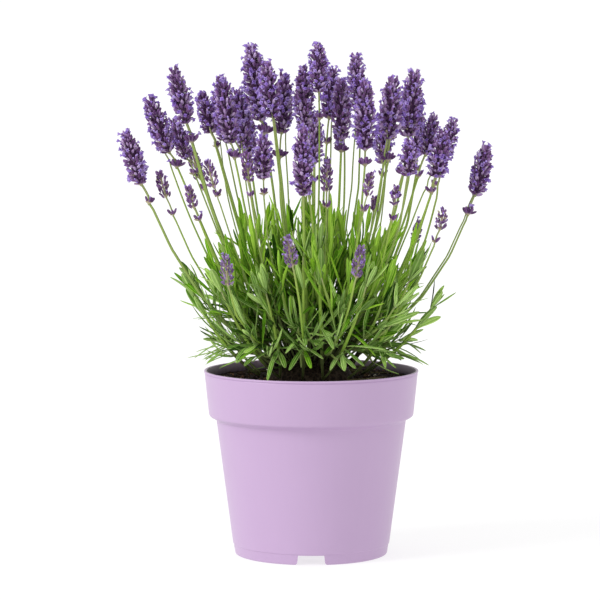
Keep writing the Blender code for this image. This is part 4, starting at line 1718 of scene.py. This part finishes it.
@dataclass
class Foliage:
    """The mound of leafy sprigs, in one piece for each leafy shoot of the frame.

    Attributes:
        count: How many sprigs there are besides the leaders.
        leaf_room: The room between a sprig's tip and the outline, for its leaves.
        foot_rise: How high above the compost the leaders start.
        knee_rise: How high above it their knees are.
    """

    crown: Crown
    rim: PotRim
    mound: Mound
    count: int = 84
    seed: int = 41
    leaf_room: float = 17 * MM
    foot_rise: float = 3 * MM
    knee_rise: float = 16 * MM

    WIDEST = math.radians(77)
    # How wide the leaves are and how much of a stem is bare.
    NEEDLES = 0.8
    SLIM, BROAD, LEADER_BROAD = (0.36, 0.5), (0.8, 1.08), 1.24
    BARE, LEADER_BARE = (0.38, 0.2), 0.42
    # How a stem runs from its foot past its knee.
    KNEE_LEAN, MOST_LEAN, KNEE_SHARE = math.radians(19), math.radians(86), 0.52
    LEADER_LEAN, PATH_STEPS = math.radians(70), 20
    # How old it is, by its lean from upright or by a leader's height in millimetres.
    YOUNG_LEAN, OLD_LEAN = math.radians(16), math.radians(78)
    LEADER_VIGOUR, TALLEST = (0.35, 0.6), 92
    LEADERS = (
        (-95, 0.71, -96, 0.71, 78),
        (-113, 0.66, -120, 0.82, 56),
        (-135, 0.78, -145, 1.00, 56),
        (-39, 0.79, -26, 1.00, 62),
        (-66, 0.74, -56, 0.89, 60),
        (-82, 0.65, -84, 0.68, 80),
        (-165, 0.83, -170, 1.10, 52),
        (-12, 0.85, -8, 1.12, 44),
        (18, 0.80, 22, 1.06, 60),
        (46, 0.74, 44, 0.94, 72),
        (70, 0.70, 72, 0.84, 80),
        (92, 0.76, 90, 1.00, 56),
        (112, 0.66, 116, 0.80, 76),
        (136, 0.78, 138, 1.02, 62),
        (160, 0.80, 164, 1.10, 54),
    )

    def __post_init__(self) -> None:
        """Finds the frame's leafy shoots."""
        names = sorted(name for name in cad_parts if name.startswith("leafy_shoot"))
        self.nodes = names
        corners = [np.array(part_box(name)) for name in names]
        self.homes = unit(np.array([box.mean(0) for box in corners]) - self.crown.middle)

    def sprigs(self) -> list[Sprig]:
        """The sprigs, spread evenly over the mound."""
        rng = np.random.default_rng(self.seed)
        made = []
        tips = self.crown.paths[:, -2:].mean(1)
        for k in range(self.count):
            share = (k + 0.5) / self.count
            lean = self.WIDEST * share**0.7
            out = compass(k * GOLDEN_TURN + rng.normal(0, 0.1))
            long = (self.mound.reach(lean) - self.leaf_room) * rng.uniform(0.7, 1.04)
            tip = self.crown.middle + UP * self.foot_rise + leaning(UP, out, lean) * long
            foot = self.foot_for(tips, out, lean)
            start = leaning(UP, out, min(lean + self.KNEE_LEAN, self.MOST_LEAN))
            knee = foot + start * np.linalg.norm(tip - foot) * self.KNEE_SHARE
            path = bow(foot, knee, tip, self.PATH_STEPS)
            wave = np.sin(np.linspace(0, 1, self.PATH_STEPS)[:, None] * math.pi * 1.5)
            path = path + rng.normal(0, 1.4 * MM, 3) * wave
            vigour = float(1 - ease((lean - self.YOUNG_LEAN) / (self.OLD_LEAN - self.YOUNG_LEAN)))
            needle = rng.random() < self.NEEDLES * (1 - vigour)
            broad = rng.uniform(*(self.SLIM if needle else self.BROAD))
            turned_by = rng.uniform(0, math.tau)
            seed = self.seed * 1000 + 3 * k
            made.append(Sprig(path, turned_by, vigour, broad, between(self.BARE, vigour), seed))
        return made

    def leaders(self) -> list[Leader]:
        """The stout stems on the outside.

        Each row of LEADERS has the direction and the distance of the stem's knee and of
        its tip, in degrees and in shares of the rim's radius, and the tip's height above
        the compost in millimetres.
        """
        made = []
        tips = self.crown.paths[:, -2:].mean(1)
        rim = self.rim.pot.rim
        for k, (knee_turn, knee_out, tip_turn, tip_out, rise) in enumerate(self.LEADERS):
            outs = compass(np.radians([knee_turn, tip_turn]))
            foot = self.foot_for(tips, outs[0], self.LEADER_LEAN) * LEVEL
            ends = [foot, outs[0] * knee_out * rim, outs[1] * tip_out * rim]
            rises = (self.foot_rise, self.knee_rise, rise * MM)
            ends = [end + UP * (self.rim.bed.level + high) for end, high in zip(ends, rises)]
            path = bow(*ends, self.PATH_STEPS)
            vigour = between(self.LEADER_VIGOUR, rise / self.TALLEST)
            turned_by = knee_turn + 0.8 * k
            seed = self.seed * 2000 + 3 * k
            kind = (self.LEADER_BROAD, self.LEADER_BARE)
            made.append(Leader(path, turned_by, vigour, *kind, seed))
        return made

    def foot_for(self, tips: Array, out: Array, lean: float) -> Array:
        """Where a sprig starts: on the branch that best points its way."""
        facing = unit(tips - self.crown.middle) @ leaning(UP, out, lean)
        return tips[int(facing.argmax())]

    def build(self) -> None:
        """Makes one piece for each of the frame's leafy shoots."""
        homes: dict[str, list[Sprig]] = {name: [] for name in self.nodes}
        for sprig in self.sprigs() + self.leaders():
            way = unit(sprig.path[-1] - self.crown.middle)
            homes[self.nodes[int((self.homes @ way).argmax())]].append(sprig)
        for name, sprigs in homes.items():
            piece = Piece(f"{name}_sprigs", "leaf")
            paths, radii = zip(*(sprig.stem() for sprig in sprigs), strict=True)
            leading = np.array([isinstance(sprig, Leader) for sprig in sprigs])
            tone = np.where(leading, 0.1, [1 - sprig.vigour for sprig in sprigs])
            piece.add(tubes(GreenStem(), np.array(paths), np.array(radii), 8, tone, 0.1))
            for finish in (NarrowLeaf(), FeltedLeaf()):
                dressed = [sprig for sprig in sprigs if sprig.dress() == finish]
                piece.add(*self.blades(finish, dressed))
            piece.build(name)

    def blades(self, finish: Finish, sprigs: list[Sprig]) -> list[Sweeps]:
        """The leaves of some sprigs that wear the same finish.

        Args:
            finish: What the leaves wear.
            sprigs: The sprigs.

        Returns:
            Their leaves, which keep within the mound and off the rim.
        """
        common = [sprig for sprig in sprigs if not isinstance(sprig, Leader)]
        leading = [sprig for sprig in sprigs if isinstance(sprig, Leader)]
        made = []
        for group in (Sprig.leaves, Sprig.tufts) if common else ():
            leaves = Leaves.joined([group(sprig) for sprig in common])
            leaves = self.mound.fit(leaves, common[0].seed)
            made.append(self.rim.lift(self.rim.thin(leaves, common[0].seed)))
        for sprig in leading:
            made += [self.rim.lift(sprig.leaves()), self.rim.lift(sprig.skirt())]
        return [Leaves.joined(made).sweeps(finish)] if made else []


# Flowers


class Bloom(Enum):
    """How far a flower is open."""

    BUD = 1
    OPEN = 2


CALYX = Mould(
    Calyx(),
    profile=(
        (0.08, 0.5, 0.0, 0.08),
        (0.42, 0.96, 0.1, 0.42),
        (0.76, 0.94, 0.16, 0.76),
        (0.95, 0.6, 0.2, 0.95),
    ),
    start=0.0,
    end=1.02,
    sides=7,
    lobes=3,
)
COROLLA = Mould(
    Petal(),
    profile=((0.3, 0.3, 0.0, 0.6), (0.74, 0.62, 0.2, 0.8), (1.0, 1.05, 0.46, 1.0)),
    start=-0.3,
    end=0.66,
    sides=10,
    lobes=5,
    lip=0.5,
    throat=0.0,
)
BUD = Mould(
    Petal(),
    profile=((0.1, 0.8, 0.0, 0.3), (0.5, 1.0, 0.1, 0.6), (0.86, 0.62, 0.2, 0.9)),
    start=0.0,
    end=1.0,
    sides=6,
    lobes=3,
)
SCALE = Mould(
    PaperyBract(),
    profile=((0.25, 0.8, 0.0, 0.2), (0.65, 1.0, 0.2, 0.6)),
    start=0.0,
    end=1.0,
    sides=6,
    lobes=2,
)


@dataclass(frozen=True)
class Habit:
    """What sets the spikes of one age apart.

    Attributes:
        core: What their middle wears.
        filled: The middle's share of the spike's girth.
        calyxes: How many calyxes a whorl has.
        inner: How many more stand in a tighter ring inside it.
        spread: How far they lean from the stem at the spike's foot and tip, in degrees.
        pitch: The distance from whorl to whorl, in calyx lengths.
        flowering: A factor on the share of calyxes in flower.
        crest: That share at the very tip.
        lit: How bright the calyxes are.
        cup: How large the dry cups are.
    """

    core: Finish
    filled: float
    calyxes: int
    inner: int
    spread: tuple[float, float]
    pitch: float
    flowering: float = 1.0
    crest: float = 0.8
    lit: float = 1.0
    cup: float = 1.0


FULL = Habit(ShadedSpikeCore(), filled=0.52, calyxes=10, inner=3, spread=(68, 36), pitch=0.62)
YOUNG = Habit(
    PaperyBract(),
    filled=0.18,
    calyxes=7,
    inner=0,
    spread=(40, 24),
    pitch=0.66,
    flowering=0.15,
    crest=0.0,
    lit=0.7,
    cup=0.7,
)


@dataclass(frozen=True)
class Whorl:
    """A ring of calyxes round a stem.

    Attributes:
        height: Where it lies on the stem, from the spike's foot.
        spread: How far its calyxes lean from the stem, in radians.
        size: The calyxes' length.
        count: How many there are.
        blooms: The share of them that are in flower.
    """

    height: float
    spread: float
    size: float
    count: int
    blooms: float


@dataclass
class FlowerStalk:
    """A flowering stem with its spike, its separate lower whorl and its own leaves.

    Attributes:
        node: The CAD node whose line and girth it follows.
        stem_heights: The heights that stem_radii are for.
        stem_radii: The stem's radius at those heights.
        spike_girth: The radius above which a stem is a spike or a whorl.
        lowest_whorl: How far above the stem's foot a lower whorl may be.
        slender: The radius below which a whole spike is young.
        low_tip: The height of the tip below which it is young, too.
        leafy_top: How high leaves grow on the stem.
        leafless: How far below the spike they stop.
        leaf_start: How far above its foot they start.
        leaf_gap: The distance from pair to pair.
        leaf_rise: How far above its foot they are as upright as they get.
        calyx_long: The least and the greatest length of a spike's calyxes.
        cup_long: The same for those of the lower whorl.
        least_reach: The least radius of a lower whorl.
        small_reach: The radius below which a lower whorl is a small one.
        cup_drop: How far below the lower whorl its dry cup is.
        cup_girth: The radius of a lower whorl whose cup has its full size.
    """

    node: str
    rim: PotRim
    mound: Mound
    seed: int
    stem_heights: tuple[float, ...] = (105 * MM, 150 * MM, 190 * MM, 260 * MM)
    stem_radii: tuple[float, ...] = (0.9 * MM, 0.84 * MM, 0.7 * MM, 0.56 * MM)
    spike_girth: float = 1.55 * MM
    lowest_whorl: float = 40 * MM
    slender: float = 4.2 * MM
    low_tip: float = 205 * MM
    leafy_top: float = 168 * MM
    leafless: float = 30 * MM
    leaf_start: float = 14 * MM
    leaf_gap: float = 15 * MM
    leaf_rise: float = 75 * MM
    calyx_long: tuple[float, float] = (3.4 * MM, 4.2 * MM)
    cup_long: tuple[float, float] = (4.4 * MM, 6.2 * MM)
    least_reach: float = 2.6 * MM
    small_reach: float = 3.4 * MM
    cup_drop: float = 1.8 * MM
    cup_girth: float = 4 * MM

    # The stem and the slimmer one beside it.
    STEM_SIZES, YOUNG_STEM = (0.82, 1.2), 0.75
    PAIRED, PAIR_SEED, PAIR_SIZE = 0.7, 5000, 0.8
    PAIR_GAP = (3.0, 6.5)
    # The stem's leaves from the lowest to the highest, in degrees and millimetres.
    LEAF_LEAN, LEAF_LONG = (60, 11), (20, 35)
    # The spike. SIZES and BLOOMS are what swell() takes.
    OPEN_SHARE, BUD_SHARE = (0.2, 0.56), 0.25
    CALYX_SHARE = 0.7
    SIZES, BLOOMS = (0.9, 0.16, 0.2), (0.5, 0.8, 0.15)
    INNER_LEAN, INNER_SIZE, INNER_BLOOMS = 0.6, 0.96, 0.4
    CREST_LEAN, CREST_COUNT = math.radians(16), 3
    # The lower whorl and the dry cups.
    CUP_BLOOMS, CUP_LIT = 0.06, 0.5
    CUP_RISES = np.linspace(-1.2, 1.4, 5) * MM
    CUP_RADII = np.array([0.6, 1.0, 1.5, 1.75, 1.4]) * MM
    # Open flowers, buds and dry scales.
    MOUTH = 0.84
    OPEN_LONG, OPEN_WIDE = (0.36, 0.62), (0.28, 0.42)
    BUD_LONG, BUD_WIDE = (0.22, 0.42), 0.46
    SCALES, SCALED_WHORLS = 5, slice(0, 5, 2)
    SCALE_LEAN, SCALE_LONG, SCALE_WIDE = (42, 72), (0.3, 0.75), (0.1, 0.17)

    def __post_init__(self) -> None:
        """Reads the stalk's line from the frame and finds its whorl and spike."""
        self.rng = np.random.default_rng(self.seed)
        self.path, self.girth = core_of(self.node)
        thick = self.girth > self.spike_girth
        head = len(thick) - 1
        while head > 0 and (thick[head] or head > len(thick) - 4):
            head -= 1
        self.head = head + 1
        self.width = float(self.girth[self.head :].max())
        below = np.flatnonzero(thick[: self.head])
        below = below[self.path[below, 2] > self.path[0, 2] + self.lowest_whorl]
        self.whorl = int(round(below.mean())) if len(below) else None
        self.base, self.tip = self.path[self.head], self.path[-1]
        self.axis = unit(self.tip - self.base)
        self.low = self.tip[2] < self.low_tip
        self.habit = YOUNG if self.width < self.slender or self.low else FULL
        self.open_share = self.rng.uniform(*self.OPEN_SHARE) * self.habit.flowering

    def stem(self) -> Sweeps:
        """The stem, to just inside the spike, often with a slimmer one beside it."""
        young = self.habit is YOUNG
        share = np.linspace(0, 1, 34)
        path = along_path(self.path[: self.head + 3], share)
        radii = np.interp(path[:, 2], self.stem_heights, self.stem_radii)
        radii = radii * (self.YOUNG_STEM if young else self.rng.uniform(*self.STEM_SIZES))
        tone = self.rng.uniform(0, 0.1 if self.low else 1, 1)
        paths, girths = [path], [radii]
        rng = np.random.default_rng(self.seed + self.PAIR_SEED)
        if not young and rng.random() < self.PAIRED:
            aside = spun(self.axis, any_square(self.axis), rng.uniform(0, math.tau))
            apart = np.sin(share**1.3 * math.pi * 0.85) * rng.uniform(*self.PAIR_GAP) * MM
            paths.append(path + aside * apart[:, None])
            girths.append(radii * self.PAIR_SIZE)
            tone = np.append(tone, rng.uniform(0.3, 1))
        return tubes(GreenStem(), np.array(paths), np.array(girths), 8, tone, 0.13)

    def core(self) -> Sweeps:
        """The woolly middle of the spike, whose near black shows between the calyxes as painted
        shade.
        """
        share = np.linspace(0, 0.93, 10)
        path = self.base + (self.tip - self.base) * share[:, None]
        girth = np.array([self.girth_at(long) for long in (path - self.base) @ self.axis])
        radii = self.habit.filled * girth[None]
        return tubes(self.habit.core, path[None], radii, 8, np.zeros(1), 0.2)

    def leaves(self) -> Leaves:
        """Opposite pairs on the lower part of the stem."""
        rng = self.rng
        top = min(self.leafy_top, self.base[2] - self.leafless)
        heights = np.arange(self.path[0, 2] + self.leaf_start, top, self.leaf_gap)
        heights = heights + rng.uniform(-5, 5, len(heights)) * MM
        at = points_at(self.path, self.path[:, 2], heights)
        ahead = unit(points_at(self.path, self.path[:, 2], heights + 6 * MM) - at)
        pairs = []
        first = rng.uniform(0, math.tau)
        rise = ease((heights - self.path[0, 2]) / self.leaf_rise)
        for flip in (0.0, math.pi):
            count = len(heights)
            turn = first + np.arange(count) * math.pi / 2 + flip + rng.normal(0, 0.2, count)
            out = spun(ahead, any_square(ahead), turn)
            spread = np.radians(between(self.LEAF_LEAN, rise) + rng.normal(0, 4, count))
            ways = leaning(ahead, out, spread.clip(0.08, 1.5))
            pairs.append(
                Leaves.facing(
                    ahead,
                    at + out * 0.6 * MM,
                    ways,
                    long=between(self.LEAF_LONG, rise) * rng.uniform(0.8, 1.2, count) * MM,
                    wide=rng.uniform(1.0, 1.7, count) * MM,
                    curl=rng.normal(-0.02, 0.12, count),
                    sag=rng.uniform(0, 0.1, count),
                    tone=rng.normal(0.56, 0.22, count).clip(0, 1),
                )
            )
        return Leaves.joined(pairs)

    def whorls(self) -> list[Whorl]:
        """The spike's whorls, on a full spike each with a tighter ring inside it."""
        habit = self.habit
        long = float(np.linalg.norm(self.tip - self.base))
        calyx = float(np.clip(self.CALYX_SHARE * self.width, *self.calyx_long))
        pitch = habit.pitch * calyx
        count = max(4, round((long - 0.6 * calyx) / pitch))
        made = []
        for i in range(count):
            share = i / (count - 1)
            spread = between(habit.spread, share)
            size = calyx * swell(share, *self.SIZES)
            height = 0.3 * MM + (long - 0.8 * calyx) * (share + 0.16 * share * (1 - share))
            blooms = self.open_share * swell(share, *self.BLOOMS)
            made.append(Whorl(height, math.radians(spread), size, habit.calyxes, blooms))
            if habit.inner:
                lean = math.radians(spread * self.INNER_LEAN)
                size, blooms = size * self.INNER_SIZE, blooms * self.INNER_BLOOMS
                made.append(Whorl(height + 0.5 * pitch, lean, size, habit.inner, blooms))
        end = long - 0.7 * calyx
        made.append(Whorl(end, self.CREST_LEAN, calyx, self.CREST_COUNT, habit.crest))
        return made

    def girth_at(self, height: float) -> float:
        """The spike's radius at a height on its axis."""
        heights = (self.path[self.head :] - self.base) @ self.axis
        girth = float(np.interp(height, heights, self.girth[self.head :]))
        return max(girth, 0.42 * self.width)

    def calyxes(self) -> tuple[Array, ...]:
        """Places for the calyxes of the spike and of the lower whorl.

        Returns:
            Their feet, axes, lengths, the odds that each is in flower, and how bright it is.
        """
        rng = self.rng
        groups = []
        side = any_square(self.axis)
        turn = 0.0
        for whorl in self.whorls():
            count = whorl.count
            turn += math.pi / whorl.count + rng.normal(0, 0.15)
            angle = turn + np.arange(count) / count * math.tau + rng.normal(0, 0.16, count)
            lean = (whorl.spread + rng.normal(0, 0.17, count)).clip(0.1, 1.35)
            out = spun(np.tile(self.axis, (count, 1)), np.tile(side, (count, 1)), angle)
            way = leaning(self.axis, out, lean)
            long = whorl.size * rng.uniform(0.82, 1.14, count)
            edge = self.girth_at(whorl.height + whorl.size * math.cos(whorl.spread)) * 1.04
            inner = np.maximum(edge - long * np.sin(lean), 0.5 * MM)
            rise = whorl.height + rng.normal(0, 0.5 * MM, count)
            feet = self.base + self.axis * rise[:, None] + out * inner[:, None]
            lit = np.full(count, self.habit.lit)
            groups.append((feet, way, long, np.full(count, whorl.blooms), lit))
        if self.whorl is not None:
            groups.append(self.lower_calyxes())
        return tuple(np.concatenate(group) for group in zip(*groups, strict=True))

    def lower_place(self) -> tuple[Array, Array, float]:
        """The middle, direction and reach of the separate lower whorl."""
        axis = unit(self.path[self.whorl + 1] - self.path[self.whorl - 1])
        reach = float(self.girth[self.whorl - 1 : self.whorl + 2].max())
        return self.path[self.whorl], axis, max(reach, self.least_reach)

    def lower_calyxes(self) -> tuple[Array, ...]:
        """Places for the calyxes of the lower whorl, which spread like a cup."""
        rng = self.rng
        middle, axis, reach = self.lower_place()
        small = reach < self.small_reach
        count = 4 if small else 14
        long = np.clip(1.4 * reach, *self.cup_long) * rng.uniform(0.8, 1.08, count)
        angle = np.arange(count) * GOLDEN_TURN + rng.normal(0, 0.2, count)
        lean = np.radians(np.linspace(26 if small else 6, 40 if small else 54, count))
        lean = lean + rng.normal(0, 0.12, count)
        rows = np.tile(axis, (count, 1))
        out = spun(rows, any_square(rows), angle)
        inset = np.linspace(0.6, 0.8 if small else 1.4, count)[:, None] * MM
        feet = middle + out * inset + axis * (inset * 0.5 - 2.0 * MM)
        blooms, lit = np.full(count, self.CUP_BLOOMS), np.full(count, self.CUP_LIT)
        return feet, leaning(axis, out, lean), long, blooms, lit

    def flowers(self) -> list[Sweeps]:
        """Calyxes, and a bud or an open flower in many of them."""
        rng = self.rng
        feet, axes, long, blooms, lit = self.calyxes()
        count = len(long)
        wide = long * rng.uniform(0.18, 0.235, count)
        roll = rng.uniform(0, math.tau, count)
        calyx = replace(CALYX, finish=YoungCalyx() if self.low else Calyx())
        made = [calyx.set_in(feet, axes, long, wide, lit * rng.random(count) ** 1.3, roll)]
        odds = rng.random(count)
        mouths = feet + axes * (long * self.MOUTH)[:, None]
        chosen = {Bloom.OPEN: odds < blooms}
        chosen[Bloom.BUD] = ~chosen[Bloom.OPEN] & (odds < blooms + self.BUD_SHARE * lit)
        ways = unit(axes + rng.normal(0, 0.4, axes.shape))
        for state, mould in ((Bloom.OPEN, COROLLA), (Bloom.BUD, BUD)):
            pick = chosen[state]
            total = int(pick.sum())
            if state is Bloom.OPEN:
                size = long[pick] * rng.uniform(*self.OPEN_LONG, total)
                girth = long[pick] * rng.uniform(*self.OPEN_WIDE, total)
            else:
                size = long[pick] * rng.uniform(*self.BUD_LONG, total)
                girth = size * self.BUD_WIDE
            hue = rng.random(total) ** 1.4
            made.append(mould.set_in(mouths[pick], ways[pick], size, girth, hue, roll[pick]))
        return made

    def cups(self) -> list[Sweeps]:
        """A dry cup under the spike and under the lower whorl."""
        places = [(self.base, self.axis, 1.0)]
        if self.whorl is not None:
            middle, axis, reach = self.lower_place()
            places.append((middle - axis * self.cup_drop, axis, min(reach / self.cup_girth, 1.0)))
        rises, radii = self.CUP_RISES[:, None], self.CUP_RADII * self.habit.cup
        paths = np.array([foot + axis * rises for foot, axis, _ in places])
        sizes = np.array([radii * size for _, _, size in places])
        tone = self.rng.uniform(0.1, 0.6, len(places))
        return [tubes(PaperyBract(), paths, sizes, 9, tone, 0.18)]

    def bracts(self) -> Sweeps:
        """Dry scales under the calyxes of the spike and of the lower whorl."""
        rng = self.rng
        places = []
        for whorl in self.whorls()[self.SCALED_WHORLS]:
            inset = self.girth_at(whorl.height) - whorl.size * math.sin(whorl.spread)
            places.append((self.base + self.axis * whorl.height, self.axis, whorl.size, inset))
        if self.whorl is not None:
            middle, axis, _ = self.lower_place()
            places.append((middle - axis * self.cup_drop, axis, 4.0 * MM, 0.6 * MM))
        parts = zip(*places, strict=True)
        middles, ahead, size, inset = (np.repeat(part, self.SCALES, 0) for part in parts)
        total = len(size)
        out = spun(ahead, any_square(ahead), rng.uniform(0, math.tau, total))
        ways = leaning(ahead, out, np.radians(rng.uniform(*self.SCALE_LEAN, total)))
        feet = middles + out * inset.clip(0.5 * MM)[:, None]
        long = size * rng.uniform(*self.SCALE_LONG, total)
        wide = size * rng.uniform(*self.SCALE_WIDE, total)
        return SCALE.set_in(feet, ways, long, wide, rng.random(total), np.zeros(total))

    def build(self) -> None:
        """Makes the stalk as one piece."""
        piece = Piece(f"{self.node}_in_bloom", "flower")
        leaves = self.rim.lift(self.mound.fit(self.leaves(), self.seed))
        piece.add(self.stem(), self.core(), leaves.sweeps(NarrowLeaf()))
        piece.add(*self.flowers(), *self.cups(), self.bracts())
        piece.build(self.node)


def swell(share: float, least: float, more: float, shift: float) -> float:
    """A number that grows from a spike's foot to its middle and falls to its tip."""
    return least + more * math.sin(math.pi * min(1.0, shift + share))


def core_of(node: str, levels: int = 90) -> tuple[Array, Array]:
    """The centre line and girth of a standing CAD node.

    Args:
        node: The node's name.
        levels: How many heights it is cut at.

    Returns:
        Points from bottom to top, and the radius at each.
    """
    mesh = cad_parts[node].data
    mesh.calc_loop_triangles()
    points = np.empty(len(mesh.vertices) * 3, np.float32)
    mesh.vertices.foreach_get("co", points)
    corners = np.empty(len(mesh.loop_triangles) * 3, np.int32)
    mesh.loop_triangles.foreach_get("vertices", corners)
    shapes = points.reshape(-1, 3).astype(float)[corners.reshape(-1, 3)]
    low, high = shapes[..., 2].min(), shapes[..., 2].max()
    centres, areas = [], []
    for height in np.linspace(low, high, levels + 2)[1:-1]:
        above = shapes[..., 2] > height
        cut = shapes[above.any(1) & ~above.all(1)]
        after = np.roll(cut, -1, axis=1)
        crossing = (cut[..., 2] > height) != (after[..., 2] > height)
        share = (height - cut[..., 2]) / np.where(crossing, after[..., 2] - cut[..., 2], 1.0)
        ends = (cut + share[..., None] * (after - cut))[crossing].reshape(-1, 2, 3)
        weight = lengths(ends[:, 1] - ends[:, 0])[:, None]
        centre = (ends.mean(1) * weight).sum(0) / weight.sum()
        spokes = ends - centre
        areas.append(np.abs(np.cross(spokes[:, 0], spokes[:, 1])[:, 2]).sum() / 2)
        centres.append(centre)
    path = np.array(centres)
    upright = unit(np.gradient(path, axis=0))[:, 2]
    return path, np.sqrt(np.array(areas) * upright / math.pi)


# The studio


@dataclass
class Studio:
    """A pale floor, soft light from the left and a camera in front of the plant.

    Attributes:
        aim: The point that the camera looks at, from its eye.
        light_way: The direction that the light shines in.
        softness: The angle across the light, in radians.
        surround: How bright the surround is at the horizon and overhead.
    """

    aim: XYZ = (-0.0068, 0.0, 0.1544)
    eye: XYZ = (0.0, -1.75, 0.302)
    lens: float = 174.0
    light_way: XYZ = (0.75, 0.42, -0.62)
    light: float = 1.45
    softness: float = math.radians(24)
    surround: tuple[float, float] = (1.04, 0.82)

    HORIZON, OVERHEAD = 0.08, 0.5
    FLOOR_REACH = 30.0

    def camera(self) -> None:
        """Sets up the camera."""
        camera = bpy.data.objects.new("camera", bpy.data.cameras.new("camera"))
        bpy.context.scene.collection.objects.link(camera)
        camera.data.lens = self.lens
        camera.location = self.eye
        way = Vector(self.aim) - Vector(self.eye)
        camera.rotation_euler = way.to_track_quat("-Z", "Y").to_euler()
        bpy.context.scene.camera = camera

    def floor(self) -> None:
        """A wide plain floor."""
        reach = self.FLOOR_REACH
        mesh = bpy.data.meshes.new("studio_floor")
        corners = [(-reach, -reach, 0), (reach, -reach, 0), (reach, reach, 0), (-reach, reach, 0)]
        mesh.from_pydata(corners, [], [(0, 1, 2, 3)])
        mesh.materials.append(worn(StudioFloor()))
        made = bpy.data.objects.new("studio_floor", mesh)
        bpy.context.scene.collection.objects.link(made)

    def world(self) -> None:
        """A white surround that is a little dimmer overhead than at the horizon."""
        world = bpy.data.worlds.new("studio")
        graph = Graph(world, "ShaderNodeBackground", "ShaderNodeOutputWorld")
        spot = graph.node("ShaderNodeTexCoord").outputs["Generated"]
        height = Wire(graph, graph.node("ShaderNodeSeparateXYZ", inputs={0: spot}).outputs[2])
        low, high = self.surround
        graph.shade(Color=(1.0, 1.0, 1.0))
        graph.shade(Strength=low + height.step(self.HORIZON, self.OVERHEAD) * (high - low))
        bpy.context.scene.world = world

    def sun(self) -> None:
        """Adds a soft light that shines the same way everywhere."""
        lamp = bpy.data.lights.new("key", "SUN")
        lamp.energy = self.light
        lamp.angle = self.softness
        made = bpy.data.objects.new("key", lamp)
        bpy.context.scene.collection.objects.link(made)
        made.rotation_euler = Vector(self.light_way).to_track_quat("-Z", "Y").to_euler()

    def build(self) -> None:
        """Sets up everything that isn't the plant."""
        bpy.context.scene.view_settings.view_transform = "Standard"
        self.camera()
        self.floor()
        self.world()
        self.sun()


def main() -> None:
    """Builds the studio, then the plant from the pot upwards."""
    logging.basicConfig(level=logging.INFO, format="%(message)s")
    Studio().build()
    pot = NurseryPot()
    pot.build()
    bed = CompostBed(pot)
    bed.build()
    crown = Crown()
    crown.build()
    rim = PotRim(pot, bed)
    mound = Mound(crown.middle)
    Foliage(crown, rim, mound).build()
    stalks = sorted(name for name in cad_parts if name.startswith("flower_stalk"))
    for i, name in enumerate(stalks):
        FlowerStalk(name, rim, mound, STALK_SEED + STALK_SEED_STEP * i).build()


if __name__ == "__main__":
    main()
